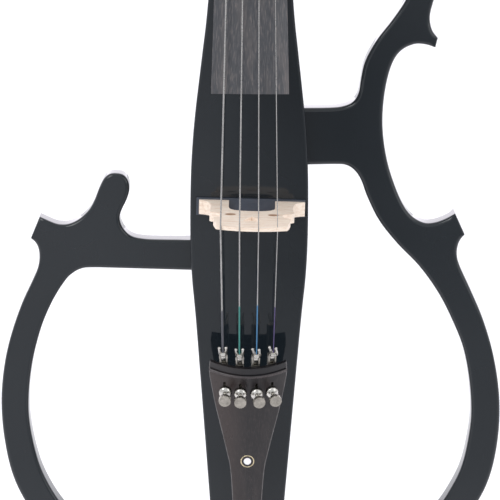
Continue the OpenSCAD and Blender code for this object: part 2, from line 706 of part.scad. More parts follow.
peg_gap = 6;                              // from the pegbox's cheek to the peg's collar
module peg(s) peg_place(s) {
    half = pegbox_half(pegs[s][1]);
    collar = half + peg_gap;
    translate([0, 0, -half - 1]) cylinder(h = half + 1 + collar, r1 = peg_r(-half - 1),
                                          r2 = peg_r(collar));
    translate([0, 0, collar - 0.5]) rotate_extrude() polygon([
        [0, 0], [9, 0], [9.8, 1.2], [9.8, 3], [8, 4.4], [5.6, 6], [5, 9], [5.6, 13], [0, 13]]);
    rotate([0, 0, peg_turn[s]]) translate([0, 4.4, collar]) rotate([90, 0, 0])
        linear_extrude(8.8) polygon(concat(smooth(peg_head), mirrored(smooth(peg_head))));
    translate([0, 0, collar + 38]) cylinder(h = 4, r = 2.2);
}
peg_head = [[4.6, 9], [9, 12], [14, 17.5], [16, 24], [14.2, 30.5], [9, 35.5], [0.01, 38.6]];
module peg_c() color([0.1, 0.09, 0.09]) peg(C);
module peg_g() color([0.1, 0.09, 0.09]) peg(G);
module peg_d() color([0.1, 0.09, 0.09]) peg(D);
module peg_a() color([0.1, 0.09, 0.09]) peg(A);

// ---- Fine tuners ----

tuner_x = [-19.4, -6.3, 7.2, 20.3];
claw_x = [-21.4, -7.4, 7.4, 21.7];
tuner_lean = [0, 0, 8.5, 10.5];
claw_y = 2;                               // depth of the string in its claw
claw_reach = 39;
seat_y = 0.8;                             // seat of the nut in the tailpiece
pivot_z = 29;
pivot_y = 7.2;
pin_r = 1.2;
screw_r = 1.6;
tuner_screw_top = -16.6;
tuner_screw_end = 8.6;
head_y = -13.8;
head_height = 4.6;

function tuner_fan(s) = atan((claw_x[s] - tuner_x[s]) / claw_reach);
function tuner_base(s) = [tuner_x[s], sag(tuner_x[s], tail_radius), -tuner_inset];
function tuner_at(s, p) =
    tail_at(tuner_base(s) + turn_z(turn_y(p, tuner_fan(s)), tuner_lean[s]));
module tuner_in_tail(s) translate(tuner_base(s))
    rotate([0, 0, tuner_lean[s]]) rotate([0, tuner_fan(s), 0]) children();
module tuner_place(s) tail_frame() tuner_in_tail(s) children();

// A round bar along the screw's axis
module turned(r, y_from, y_to)
    translate([0, y_to, 0]) rotate([90, 0, 0]) cylinder(h = y_to - y_from, r = r);
// A side view of a tuner, drawn as [towards the bridge, up]
module tuner_side(x_from, x_to)
    translate([x_to, 0, 0]) rotate([0, -90, 0]) linear_extrude(x_to - x_from)
        scale([1, -1]) children();
module knurled(r, n, depth) polygon([for (i = [0:2 * n - 1])
    (r - depth * (i % 2)) * [cos(180 * i / n), sin(180 * i / n)]]);

module pivot_bar(half, r)
    translate([-half, pivot_y, pivot_z]) rotate([0, 90, 0]) cylinder(h = 2 * half, r = r);

module tuner_housing() difference() {
    union() {
        turned(3, -4.2, 6.8);
        translate([-3.35, 6.6, -4.5]) cube([6.7, 1.8, 27.4]);
        for (m = [-1, 1]) translate([m * 2.75 - 0.6, 0, 0]) {
            translate([0, 6.9, 20]) cube([1.2, 2.7, 12.4]);
            translate([0, 4.6, 25.2]) cube([1.2, 5, 7.2]);
        }
    }
    turned(screw_r + 0.05, -20, 20);
    pivot_bar(5, pin_r);
}

module tuner_lever() difference() {
    union() {
        tuner_side(-1.8, 1.8) polygon([
            [-3, -11.2], [-3, -9], [26.4, -9], [26.4, -5.2], [31, -4.6], [38, -4.6], [38, -7],
            [33, -9.8], [31.5, -11.2]]);
        tuner_side(-3.6, 3.6) polygon([[36.6, -4.8], [36.6, 0.6], [39, 0.9], [40.2, -0.6],
                                       [40.2, -4.8], [38.6, -6.6], [36.6, -6.6]]);
    }
    pivot_bar(5, pin_r + 0.05);
    translate([-1.05, -2, 36]) cube([2.1, claw_y + 3.1, 5]);
}

module tuner_housings() color([0.62, 0.6, 0.57]) for (s = [C, G, D, A])
    tuner_place(s) tuner_housing();
module tuner_nuts() color([0.62, 0.6, 0.57]) for (s = [C, G, D, A]) tuner_place(s)
    translate([0, seat_y - 0.05, 0]) rotate([90, 0, 0]) linear_extrude(3.6) difference() {
        knurled(tuner_head_r, 18, 0.4);
        circle(r = 3.02);
    }
module tuner_pins() color([0.62, 0.6, 0.57]) for (s = [C, G, D, A])
    tuner_place(s) pivot_bar(3.7, pin_r);
module tuner_lever_c() color([0.62, 0.6, 0.57]) tuner_place(C) tuner_lever();
module tuner_lever_g() color([0.62, 0.6, 0.57]) tuner_place(G) tuner_lever();
module tuner_lever_d() color([0.62, 0.6, 0.57]) tuner_place(D) tuner_lever();
module tuner_lever_a() color([0.62, 0.6, 0.57]) tuner_place(A) tuner_lever();

module tuner_screw(s) tuner_place(s) turned(screw_r, tuner_screw_top, tuner_screw_end);
module tuner_screw_c() color([0.62, 0.6, 0.57]) tuner_screw(C);
module tuner_screw_g() color([0.62, 0.6, 0.57]) tuner_screw(G);
module tuner_screw_d() color([0.62, 0.6, 0.57]) tuner_screw(D);
module tuner_screw_a() color([0.62, 0.6, 0.57]) tuner_screw(A);

module tuner_head(s) tuner_place(s) difference() {
    translate([0, head_y, 0]) rotate([90, 0, 0]) linear_extrude(head_height)
        knurled(tuner_head_r, 18, 0.4);
    turned(screw_r + 0.04, tuner_screw_top - 0.2, 0);
}
module tuner_head_c() color([0.62, 0.6, 0.57]) tuner_head(C);
module tuner_head_g() color([0.62, 0.6, 0.57]) tuner_head(G);
module tuner_head_d() color([0.62, 0.6, 0.57]) tuner_head(D);
module tuner_head_a() color([0.62, 0.6, 0.57]) tuner_head(A);

// ---- Controls, seen from the back as [across, height over the bridge] ----

plate_middle = 87;
plate_thickness = 2.2;
plate_out = back + plate_thickness;
plate_screw_places = [for (x = [-28.5, 28.5], z = [23.5, 87, 150.5]) [x, z]];
knob_x = 16;
knob_z = 115;
switch_z = 114.5;
switch_travel = 4;
jack_place = [13, 138.3];
phones_place = [-15, 138.3];
window = [16, 31, 88];                    // battery window: half width, lower and upper edge
board_y = 9;
board_thickness = 1.6;

// Z points out of the plate from the spine's back face
module on_back(x, z) translate([x, back, bridge_z + z]) rotate([-90, 0, 0]) children();
module plate_screw_place(p) on_back(p[0], p[1]) children();

module rounded(w, h, r) {
    square([w - 2 * r, h], center = true);
    square([w, h - 2 * r], center = true);
    for (x = [r - w / 2, w / 2 - r], y = [r - h / 2, h / 2 - r]) translate([x, y]) circle(r = r);
}

hinge_y = plate_out + 1.8;
hinge_z = 29.4;
hinge_r = 1.7;
hinge_pin_r = 0.8;
module hinge_bar(x_from, x_to, r)
    translate([x_from, hinge_y, bridge_z + hinge_z]) rotate([0, 90, 0])
        cylinder(h = x_to - x_from, r = r);

module control_plate() color([0.12, 0.12, 0.13]) difference() {
    union() {
        on_back(0, plate_middle) linear_extrude(plate_thickness)
            rounded(plate_width, plate_length, 6);
        for (m = [-1, 1]) {
            hinge_bar(m * 12 - 3, m * 12 + 3, hinge_r);
            translate([m * 12 - 3, plate_out - 0.5, bridge_z + hinge_z - hinge_r])
                cube([6, hinge_y - plate_out + 0.5, hinge_r]);
        }
    }
    translate([-window[0], 0, bridge_z + window[1]])
        cube([2 * window[0], 60, window[2] - window[1]]);
    for (p = plate_screw_places) plate_screw_place(p) cylinder(h = 9, r = 1.7, center = true);
    for (m = [-1, 1]) on_back(m * knob_x, knob_z) cylinder(h = 9, r = 3.6, center = true);
    on_back(jack_place[0], jack_place[1]) cylinder(h = 9, r = 5.1, center = true);
    on_back(phones_place[0], phones_place[1]) cylinder(h = 9, r = 3.7, center = true);
    translate([-1.8, 0, bridge_z + switch_z - 4.3]) cube([3.6, 60, switch_travel + 4.6]);
    hinge_bar(-20, 20, hinge_pin_r + 0.05);
}

module battery_door() color([0.12, 0.12, 0.13]) {
    translate([0.4 - window[0], back + 0.15, bridge_z + window[1] + 1.2])
        cube([2 * window[0] - 0.8, 2, window[2] - window[1] - 1.8]);
    translate([-8, plate_out + 0.3, bridge_z + hinge_z])
        cube([16, hinge_y + hinge_r - plate_out - 0.8, 12]);
    translate([-8, back + 1, bridge_z + window[1] + 1.2]) cube([16, 2.4, 10.2]);
    hinge_bar(-8.5, 8.5, hinge_r);
    hinge_bar(-14, 14, hinge_pin_r);
}

module battery() color([0.25, 0.25, 0.28]) {
    translate([-13.25, 3, bridge_z + 34]) cube([26.5, 17.5, 48.5]);
    for (m = [-1, 1]) translate([m * 6.3, 11.75, bridge_z + 82.4]) cylinder(h = 2.6, r = 2.8);
}

module plate_screws() color([0.7, 0.7, 0.7]) for (p = plate_screw_places) plate_screw_place(p)
    difference() {
        union() {
            translate([0, 0, -12]) cylinder(h = 13 + plate_thickness, r = 1.4);
            translate([0, 0, plate_thickness + 0.02]) cylinder(h = 1.6, r = 2.9);
        }
        for (a = [0, 90]) rotate(a) translate([-1.8, -0.4, plate_thickness + 0.8]) cube([3.6, 0.8, 2]);
    }

module preamp_board() color([0.1, 0.3, 0.2]) {
    translate([-23, board_y, bridge_z + 92]) cube([46, board_thickness, 40]);
    for (m = [-1, 1]) on_back(m * knob_x, knob_z) difference() {
        union() {
            translate([0, 0, board_y + board_thickness - back - 0.1]) cylinder(h = 7.5, r = 7.4);
            translate([0, 0, -8]) cylinder(h = 10.4, r = 3.4);
        }
        translate([0, 0, -9]) cylinder(h = 20, r = 3.05);
    }
    difference() {
        translate([-4, board_y + board_thickness - 0.1, bridge_z + 106]) cube([8, 9.5, 17]);
        translate([-1.8, 15, bridge_z + switch_z - 4.3]) cube([3.6, 10, switch_travel + 4.6]);
    }
    translate([-14, board_y + board_thickness - 0.1, bridge_z + 95]) cube([10, 2.6, 6]);
    translate([4, board_y + board_thickness - 0.1, bridge_z + 95]) cube([12, 3.4, 5]);
}

module knob(x) on_back(x, knob_z) {
    translate([0, 0, -8.5]) cylinder(h = 14, r = 3);
    translate([0, 0, plate_thickness + 0.7]) linear_extrude(10) knurled(8, 24, 0.5);
    translate([0, 0, plate_thickness + 10.6]) cylinder(h = 0.9, r = 6.6);
    translate([-0.5, 2, plate_thickness + 11]) cube([1, 4.4, 0.9]);
}
module volume_knob() color([0.1, 0.1, 0.1]) knob(-knob_x);
module tone_knob() color([0.1, 0.1, 0.1]) knob(knob_x);

module power_switch() color([0.1, 0.1, 0.1])
    translate([-1.5, 15.3, bridge_z + switch_z - 4]) cube([3, 12.2, 4]);

module jack(place, bore_r, barrel_r, nut_r, deep) on_back(place[0], place[1]) difference() {
    union() {
        translate([0, 0, -deep]) cylinder(h = deep + plate_thickness + 2.6, r = barrel_r);
        translate([0, 0, -2.6]) cylinder(h = 2.5, r = barrel_r + 0.8);
        translate([0, 0, plate_thickness + 0.02]) linear_extrude(2.2) knurled(nut_r, 20, 0.35);
    }
    translate([0, 0, 2 - deep]) cylinder(h = 60, r = bore_r);
}
module output_jack() color([0.75, 0.74, 0.72]) jack(jack_place, jack_bore_r, 5, 7.5, 24);
module headphone_jack() color([0.75, 0.74, 0.72]) jack(phones_place, phones_bore_r, 3.6, 5.4, 15);

spine();
left_wing();
right_wing();
neck();
fingerboard();
nut();
saddle();
bridge();
pickup_bar();
pickup_lead();
tailpiece();
inlay_ring();
inlay_dot();
tail_cord();
endpin_plug();
endpin_ferrule();
endpin_thumbscrew();
endpin_rod();
endpin_tip();
string_c();
string_g();
string_d();
string_a();
string_end_c();
string_end_g();
string_end_d();
string_end_a();
winding_c();
winding_g();
winding_d();
winding_a();
peg_c();
peg_g();
peg_d();
peg_a();
tuner_housings();
tuner_nuts();
tuner_pins();
tuner_lever_c();
tuner_lever_g();
tuner_lever_d();
tuner_lever_a();
tuner_screw_c();
tuner_screw_g();
tuner_screw_d();
tuner_screw_a();
tuner_head_c();
tuner_head_g();
tuner_head_d();
tuner_head_a();
control_plate();
plate_screws();
volume_knob();
tone_knob();
power_switch();
output_jack();
headphone_jack();
preamp_board();
battery();
battery_door();
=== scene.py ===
"""Looks for the skeleton-bodied electric cello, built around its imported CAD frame. Metres."""
import math

import bmesh
import bpy
from mathutils import Matrix, Vector


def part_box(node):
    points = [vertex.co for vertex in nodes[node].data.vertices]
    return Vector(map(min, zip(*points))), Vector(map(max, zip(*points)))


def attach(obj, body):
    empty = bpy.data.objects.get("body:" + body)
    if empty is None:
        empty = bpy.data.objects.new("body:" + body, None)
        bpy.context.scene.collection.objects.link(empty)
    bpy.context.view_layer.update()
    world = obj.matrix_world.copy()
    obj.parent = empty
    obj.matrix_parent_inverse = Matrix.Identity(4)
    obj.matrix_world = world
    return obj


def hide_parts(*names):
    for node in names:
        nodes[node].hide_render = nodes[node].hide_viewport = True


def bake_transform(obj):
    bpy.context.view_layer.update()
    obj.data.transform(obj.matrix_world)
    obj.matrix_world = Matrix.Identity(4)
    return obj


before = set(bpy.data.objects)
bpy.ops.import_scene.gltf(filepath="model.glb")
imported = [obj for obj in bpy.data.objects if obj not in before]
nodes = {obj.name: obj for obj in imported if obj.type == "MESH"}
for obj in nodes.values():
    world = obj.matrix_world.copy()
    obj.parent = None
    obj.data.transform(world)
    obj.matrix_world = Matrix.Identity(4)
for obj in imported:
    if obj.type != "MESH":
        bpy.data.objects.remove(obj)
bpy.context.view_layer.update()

SPINE_LOW, SPINE_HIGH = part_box("spine")
FRONT, BACK = SPINE_LOW.y, SPINE_HIGH.y
PICKUP_LOW, PICKUP_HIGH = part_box("pickup_bar")
BRIDGE_Z = (PICKUP_LOW.z + PICKUP_HIGH.z) / 2
STRINGS = "cgda"
# the middle of the tailpiece's upper end, and its backward tilt
TAIL_ORIGIN = Vector((0, FRONT - 0.061, BRIDGE_Z - 0.1275))
TAIL_TILT = math.radians(12.35)
TAIL_TURN = Matrix.Rotation(TAIL_TILT, 3, "X")
# the bridge stands a little right of the middle; its eye holes, from its own middle
BRIDGE_SHIFT = 0.0023
EYE_X, EYE_Y = 0.018, PICKUP_LOW.y - 0.0465
EYE_HALF_WIDTH, EYE_HALF_HEIGHT = 0.0052, 0.0034

# ---------------------------------------------------------------- camera

CAMERA_DISTANCE = 2.4
CAMERA_RISE = math.radians(11.3)
CAMERA_DOWN = math.radians(12.18)
CAMERA_ROLL = math.radians(0.42)
CAMERA_ASIDE = 0.0009
CAMERA_LENS = 202


def make_camera():
    data = bpy.data.cameras.new("camera")
    data.sensor_width = 36
    data.lens = CAMERA_LENS
    data.clip_end = 100
    camera = bpy.data.objects.new("camera", data)
    bpy.context.scene.collection.objects.link(camera)
    camera.location = (
        CAMERA_ASIDE,
        FRONT - CAMERA_DISTANCE * math.cos(CAMERA_RISE),
        BRIDGE_Z + CAMERA_DISTANCE * math.sin(CAMERA_RISE),
    )
    forward = Vector((0, math.cos(CAMERA_DOWN), -math.sin(CAMERA_DOWN)))
    look = forward.to_track_quat("-Z", "Y").to_matrix()
    roll = Matrix.Rotation(CAMERA_ROLL, 3, "Z")
    camera.rotation_euler = (look @ roll).to_euler()
    bpy.context.scene.camera = camera


# ---------------------------------------------------------------- materials


class Shader:
    """A Principled material and short calls for the nodes that vary it."""

    def __init__(self, name, colour, roughness, **sockets):
        self.material = bpy.data.materials.new(name)
        self.material.use_nodes = True
        self.tree = self.material.node_tree
        self.bsdf = self.tree.nodes["Principled BSDF"]
        self.bsdf.inputs["Base Color"].default_value = (*colour, 1)
        self.bsdf.inputs["Roughness"].default_value = roughness
        for socket, value in sockets.items():
            self.bsdf.inputs[socket.replace("_", " ")].default_value = value
        self.coords = self.tree.nodes.new("ShaderNodeTexCoord").outputs["Object"]
        self.material.diffuse_color = (*colour, 1)

    def link(self, a, b):
        self.tree.links.new(a, b)

    def mapped(self, scale, rotation=(0, 0, 0), location=(0, 0, 0)):
        n = self.tree.nodes.new("ShaderNodeMapping")
        n.inputs["Scale"].default_value = scale
        n.inputs["Rotation"].default_value = rotation
        n.inputs["Location"].default_value = location
        self.link(self.coords, n.inputs["Vector"])
        return n.outputs["Vector"]

    def noise(self, scale, stretch=(1, 1, 1), detail=4, rough=0.55, distortion=0.0):
        n = self.tree.nodes.new("ShaderNodeTexNoise")
        n.inputs["Scale"].default_value = scale
        n.inputs["Detail"].default_value = detail
        n.inputs["Roughness"].default_value = rough
        n.inputs["Distortion"].default_value = distortion
        self.link(self.mapped(stretch), n.inputs["Vector"])
        return n.outputs["Fac"]

    def waves(self, scale, distortion=0.0):
        """Bands across Z."""
        n = self.tree.nodes.new("ShaderNodeTexWave")
        n.bands_direction = "Z"
        n.inputs["Scale"].default_value = scale
        n.inputs["Distortion"].default_value = distortion
        n.inputs["Detail"].default_value = 2
        self.link(self.mapped((1, 1, 1)), n.inputs["Vector"])
        return n.outputs["Fac"]

    def cells(self, scale, stretch=(1, 1, 1)):
        n = self.tree.nodes.new("ShaderNodeTexVoronoi")
        n.inputs["Scale"].default_value = scale
        self.link(self.mapped(stretch), n.inputs["Vector"])
        return n.outputs["Distance"]

    def ramp(self, value, stops):
        """stops: [(place, (r, g, b) or grey), ...]"""
        n = self.tree.nodes.new("ShaderNodeValToRGB")
        n.color_ramp.elements.remove(n.color_ramp.elements[1])
        for i, (place, colour) in enumerate(stops):
            rgb = colour if isinstance(colour, tuple) else (colour, colour, colour)
            e = n.color_ramp.elements[0] if i == 0 else n.color_ramp.elements.new(place)
            e.position = place
            e.color = (*rgb, 1)
        self.link(value, n.inputs["Fac"])
        return n.outputs["Color"]

    def split(self, vector):
        n = self.tree.nodes.new("ShaderNodeSeparateXYZ")
        self.link(vector, n.inputs["Vector"])
        return n.outputs

    def mix(self, a, b, amount):
        n = self.tree.nodes.new("ShaderNodeMix")
        n.data_type = "RGBA"
        for socket, value in ((n.inputs[6], a), (n.inputs[7], b), (n.inputs[0], amount)):
            if isinstance(value, bpy.types.NodeSocket):
                self.link(value, socket)
            elif isinstance(value, tuple):
                socket.default_value = (*value, 1)
            else:
                socket.default_value = value
        return n.outputs[2]

    def times(self, a, b, operation="MULTIPLY"):
        """a times b, or another two-value operation."""
        n = self.tree.nodes.new("ShaderNodeMath")
        n.operation = operation
        for socket, value in ((n.inputs[0], a), (n.inputs[1], b)):
            if isinstance(value, bpy.types.NodeSocket):
                self.link(value, socket)
            else:
                socket.default_value = value
        return n.outputs[0]

    def colour(self, socket):
        self.link(socket, self.bsdf.inputs["Base Color"])

    def roughness(self, value, low, high):
        n = self.tree.nodes.new("ShaderNodeMapRange")
        n.inputs["From Min"].default_value = 0.3
        n.inputs["From Max"].default_value = 0.7
        n.inputs["To Min"].default_value = low
        n.inputs["To Max"].default_value = high
        self.link(value, n.inputs["Value"])
        self.link(n.outputs["Result"], self.bsdf.inputs["Roughness"])

    def bump(self, height, distance, strength):
        n = self.tree.nodes.new("ShaderNodeBump")
        n.inputs["Strength"].default_value = strength
        n.inputs["Distance"].default_value = distance
        self.link(height, n.inputs["Height"])
        self.link(n.outputs["Normal"], self.bsdf.inputs["Normal"])

    def edges(self, low, high):
        """1 on convex edges, 0 on flats; the lacquer paints these paler as a painted highlight."""
        n = self.tree.nodes.new("ShaderNodeNewGeometry")
        return self.ramp(n.outputs["Pointiness"], [(low, 0.0), (high, 1.0)])


def lacquer():
    """Gloss black with a faint cloud, sparse dust and a painted highlight that makes its convex edges
    paler.
    """
    s = Shader("black_lacquer", (0.0095, 0.0135, 0.0175), 0.06, IOR=1.5)
    cloud = s.noise(7, detail=3)
    base = s.ramp(cloud, [(0.3, (0.0082, 0.0120, 0.0158)), (0.7, (0.0108, 0.0150, 0.0192))])
    swirl = s.noise(900, (1, 1, 0.06), detail=2)
    base = s.mix(base, (0.014, 0.018, 0.022), s.ramp(swirl, [(0.68, 0.0), (0.8, 0.3)]))
    # painted highlight: the convex edges are mixed towards a paler blue-grey
    base = s.mix(base, (0.025, 0.028, 0.032), s.times(s.edges(0.56, 0.66), 0.3))
    s.colour(base)
    s.roughness(s.noise(24, detail=6, rough=0.65), 0.03, 0.075)
    s.bump(s.noise(140, detail=1.5), 0.0001, 0.08)
    return s.material


def ebony(name, colour, light, roughness, streak=1.0, paint_light=None):
    """Dark wood with fibres and bands along Z; the optional last function may paint light and shade into
    its colour.
    """
    s = Shader(name, colour, roughness, IOR=1.5)
    fibres = s.noise(1.0, (900, 900, 14), detail=6, rough=0.6, distortion=0.3)
    bands = s.noise(1.0, (120, 120, 2.2), detail=3)
    wood = s.ramp(fibres, [(0.34, tuple(c * 0.72 for c in colour)), (0.52, colour), (0.72, light)])
    wood = s.mix(wood, light, s.ramp(bands, [(0.5, 0.0), (0.72, 0.45 * streak)]))
    if paint_light:
        wood = paint_light(s, wood)
    s.colour(wood)
    s.roughness(s.noise(60, (1, 1, 0.3), detail=5), roughness * 0.82, roughness * 1.25)
    s.bump(fibres, 0.00006, 0.35)
    return s.material


def tail_shading(s, wood):
    """Painted shade darkens the hollow end above the fret, and a painted sheen makes the left side lighter
    and browner.
    """
    back = TAIL_TURN.transposed() @ TAIL_ORIGIN
    place = s.mapped((1, 1, 1), (-TAIL_TILT, 0, 0), tuple(-back))
    axes = s.split(place)
    # the fret bows down towards the middle of the tailpiece
    bow = s.times(s.times(axes["X"], axes["X"]), 2.5)
    up = s.times(axes["Z"], bow, "SUBTRACT")
    # painted sheen: the left half is mixed towards a lighter brown
    side = s.ramp(s.times(s.times(axes["X"], 12), 0.5, "ADD"), [(0.3, 0.55), (0.5, 0.0)])
    wood = s.mix(wood, (0.046, 0.030, 0.026), side)
    # painted shade: the hollow end above the fret is mixed almost to black
    painted_shade_band = s.ramp(s.times(s.times(up, 50), 0.5, "ADD"), [(0.17, 0.0), (0.19, 0.75)])
    return s.mix(wood, (0.004, 0.004, 0.006), painted_shade_band)


def maple():
    """The bridge's pale wood with fine rings and flecks, and dark brown eye holes that are painted shade
    over darker cut grain.
    """
    s = Shader("bridge_maple", (0.78, 0.63, 0.5), 0.46)
    rings = s.noise(1.0, (70, 420, 900), detail=5, rough=0.6, distortion=0.4)
    flecks = s.cells(1.0, (260, 900, 1700))
    wood = s.ramp(
        rings, [(0.3, (0.80, 0.62, 0.48)), (0.5, (0.92, 0.78, 0.655)), (0.72, (0.97, 0.87, 0.76))]
    )
    wood = s.mix(wood, (0.62, 0.41, 0.28), s.ramp(flecks, [(0.10, 0.55), (0.22, 0.0)]))
    shadows = s.noise(1.0, (30, 500, 90), detail=2)
    wood = s.mix(wood, (0.58, 0.42, 0.32), s.ramp(shadows, [(0.6, 0.0), (0.72, 0.35)]))
    # the two eye holes and their rims are painted dark brown: painted shade in the openings, over cut
    # grain that is darker too; they open forwards, so Y places them
    axes = s.split(s.coords)
    across = s.times(s.times(axes["X"], BRIDGE_SHIFT, "SUBTRACT"), 0.0, "ABSOLUTE")
    across = s.times(s.times(across, EYE_X, "SUBTRACT"), EYE_HALF_WIDTH, "DIVIDE")
    up = s.times(s.times(axes["Y"], EYE_Y, "SUBTRACT"), EYE_HALF_HEIGHT, "DIVIDE")
    off = s.times(s.times(across, across), s.times(up, up), "ADD")
    wood = s.mix(wood, (0.34, 0.17, 0.08), s.ramp(off, [(0.6, 0.85), (1.0, 0.0)]))
    s.colour(wood)
    s.roughness(s.noise(300, detail=4), 0.4, 0.56)
    s.bump(rings, 0.00012, 0.4)
    return s.material


def metal(name, colour, roughness, brushed=0.0, tarnish=0.25):
    """Metal with smears, duller by the tarnish and scratched along Z if brushed."""
    s = Shader(name, colour, roughness, Metallic=1.0)
    smear = s.noise(220, detail=5, rough=0.6)
    dull = tuple(c * (1 - tarnish) for c in colour)
    clean = tuple(min(1, c * 1.08) for c in colour)
    s.colour(s.ramp(smear, [(0.34, dull), (0.6, colour), (0.8, clean)]))
    wear = s.noise(500, (1, 1, 0.2) if brushed else (1, 1, 1), detail=4)
    s.roughness(wear, roughness * 0.7, roughness * 1.5)
    scratches = s.noise(1500, (1, 1, 0.05) if brushed else (1, 1, 1), detail=2)
    s.bump(scratches, 0.00003, 0.25 + brushed)
    return s.material


def plastic(name, colour, roughness, grain=1600):
    """A mottled, finely grained plastic or rubber."""
    s = Shader(name, colour, roughness)
    mottle = s.noise(40, detail=4)
    dark, light = (tuple(c * k for c in colour) for k in (0.8, 1.25))
    s.colour(s.ramp(mottle, [(0.3, dark), (0.7, light)]))
    s.roughness(s.noise(180, detail=4), roughness * 0.85, roughness * 1.15)
    s.bump(s.noise(grain, detail=2), 0.00005, 0.35)
    return s.material


def string_metal(name, colour):
    """Ribbon-wound steel."""
    s = Shader(name, colour, 0.3, Metallic=1.0)
    ribbon = s.waves(900)
    stains = s.noise(300, (1, 1, 0.1), detail=3)
    s.colour(s.ramp(stains, [(0.3, tuple(c * 0.75 for c in colour)), (0.7, colour)]))
    s.roughness(s.noise(700, detail=2), 0.22, 0.36)
    s.bump(ribbon, 0.00004, 0.5)
    return s.material


def silk(name, colour, dark):
    """Thread wound round a string or cord, with painted shade in the grooves between its turns."""
    s = Shader(name, colour, 0.55)
    s.bsdf.inputs["Sheen Weight"].default_value = 0.4
    s.bsdf.inputs["Sheen Roughness"].default_value = 0.4
    wraps = s.waves(1400, distortion=1.0)
    # painted shade: the dark colour fills the wave's hollows, the grooves between the turns
    s.colour(s.mix(dark, colour, s.ramp(wraps, [(0.2, 0.15), (0.7, 1.0)])))
    s.bump(wraps, 0.00006, 0.6)
    s.roughness(s.noise(900, detail=2), 0.48, 0.66)
    return s.material


def pearl():
    """Layered mother-of-pearl under a clear coat."""
    s = Shader("pearl", (0.82, 0.8, 0.84), 0.12)
    s.bsdf.inputs["Coat Weight"].default_value = 0.8
    s.bsdf.inputs["Coat Roughness"].default_value = 0.04
    layers = s.noise(420, (1, 1, 0.5), detail=3, distortion=1.5)
    s.colour(
        s.ramp(layers, [(0.3, (0.74, 0.86, 0.86)), (0.5, (0.93, 0.91, 0.95)), (0.7, (0.92, 0.8, 0.88))])
    )
    s.roughness(s.noise(250, detail=2), 0.09, 0.18)
    s.bump(layers, 0.00004, 0.3)
    return s.material


LACQUER = lacquer()
# the fingerboard's ebony is lighter and bluer than the turned ebony: partly its own colour, partly a
# painted sheen of its polished face
BOARD_WITH_PAINTED_SHEEN = ebony("fingerboard_ebony_painted_sheen", (0.058, 0.060, 0.068), (0.15, 0.13, 0.125), 0.34)
EBONY = ebony("turned_ebony", (0.014, 0.013, 0.013), (0.035, 0.030, 0.028), 0.3, 0.5)
ROSEWOOD = ebony("tailpiece_wood", (0.0125, 0.0100, 0.0115), (0.036, 0.028, 0.027), 0.3, 1.0, tail_shading)
FRET = ebony("tailpiece_fret", (0.052, 0.042, 0.044), (0.085, 0.070, 0.070), 0.25)
# pale ebony for thin tubes along the tailpiece's side edges: a painted highlight
PAINTED_EDGE_HIGHLIGHT = ebony("tailpiece_edge_painted_highlight", (0.11, 0.10, 0.10), (0.20, 0.19, 0.19), 0.34)
MAPLE = maple()
NICKEL = metal("nickel", (0.56, 0.54, 0.50), 0.17)
BRIGHT = metal("bright_nickel", (0.64, 0.62, 0.58), 0.2, tarnish=0.3)
# a darker, warmer copy of the nickel for the tuner heads and housings: painted shade for their dim
# reflections, with heavier tarnish mottling
NICKEL_PAINTED_SHADE_AND_TARNISH = metal("nickel_painted_shade_and_tarnish", (0.42, 0.395, 0.35), 0.34, tarnish=0.35)
STEEL = metal("rod_steel", (0.40, 0.40, 0.41), 0.26, brushed=0.4, tarnish=0.1)
BRASS = metal("brass", (0.68, 0.58, 0.38), 0.3)
PLASTIC = plastic("black_plastic", (0.022, 0.022, 0.024), 0.42)
PICKUP = plastic("pickup_shell", (0.042, 0.050, 0.068), 0.36)
RUBBER = plastic("rubber", (0.018, 0.018, 0.018), 0.7, 900)
CORD = silk("tail_cord_braid", (0.03, 0.03, 0.032), (0.012, 0.012, 0.013))
CIRCUIT = plastic("circuit_board", (0.02, 0.13, 0.06), 0.35)
JACKET = plastic("battery_jacket", (0.10, 0.10, 0.12), 0.3)
PEARL = pearl()
WOUND = string_metal("wound_steel", (0.44, 0.43, 0.42))
SILKS = {
    "c": silk("silk_c", (0.10, 0.10, 0.12), (0.03, 0.03, 0.04)),
    "g": silk("silk_g", (0.03, 0.30, 0.25), (0.01, 0.10, 0.09)),
    "d": silk("silk_d", (0.05, 0.26, 0.50), (0.02, 0.08, 0.20)),
    "a": silk("silk_a", (0.10, 0.06, 0.22), (0.03, 0.02, 0.09)),
}


# ---------------------------------------------------------------- mesh helpers

# points closer than this are one point, and faces bent less than this are one face
WELD, FLAT = 2e-6, math.radians(0.3)


def shade(mesh, angle=38):
    for p in mesh.polygons:
        p.use_smooth = True
    mesh.set_sharp_from_angle(angle=math.radians(angle))


def dress(node, material, bevel=0.0003, segments=2, angle=32):
    """Keeps a CAD node, softens its edges and gives it a material."""
    o = nodes[node]
    o.data.materials.clear()
    o.data.materials.append(material)
    weld = o.modifiers.new("weld", "WELD")
    weld.merge_threshold = WELD
    flat = o.modifiers.new("flat", "DECIMATE")
    flat.decimate_type = "DISSOLVE"
    flat.angle_limit = FLAT
    if bevel:
        b = o.modifiers.new("bevel", "BEVEL")
        b.width = bevel
        b.segments = segments
        b.limit_method = "ANGLE"
        b.angle_limit = math.radians(angle)
        b.miter_outer = "MITER_ARC"
        b.use_clamp_overlap = True
    shade(o.data)
    smooth = o.modifiers.new("smooth", "WEIGHTED_NORMAL")
    smooth.keep_sharp = True


def add_piece(name, bm, material, body, slot, *replaced, angle=38):
    mesh = bpy.data.meshes.new(name)
    bm.to_mesh(mesh)
    bm.free()
    mesh.materials.append(material)
    shade(mesh, angle)
    o = bpy.data.objects.new(name, mesh)
    bpy.context.scene.collection.objects.link(o)
    if body:
        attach(o, body)
    if replaced:
        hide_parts(*replaced)
    return o


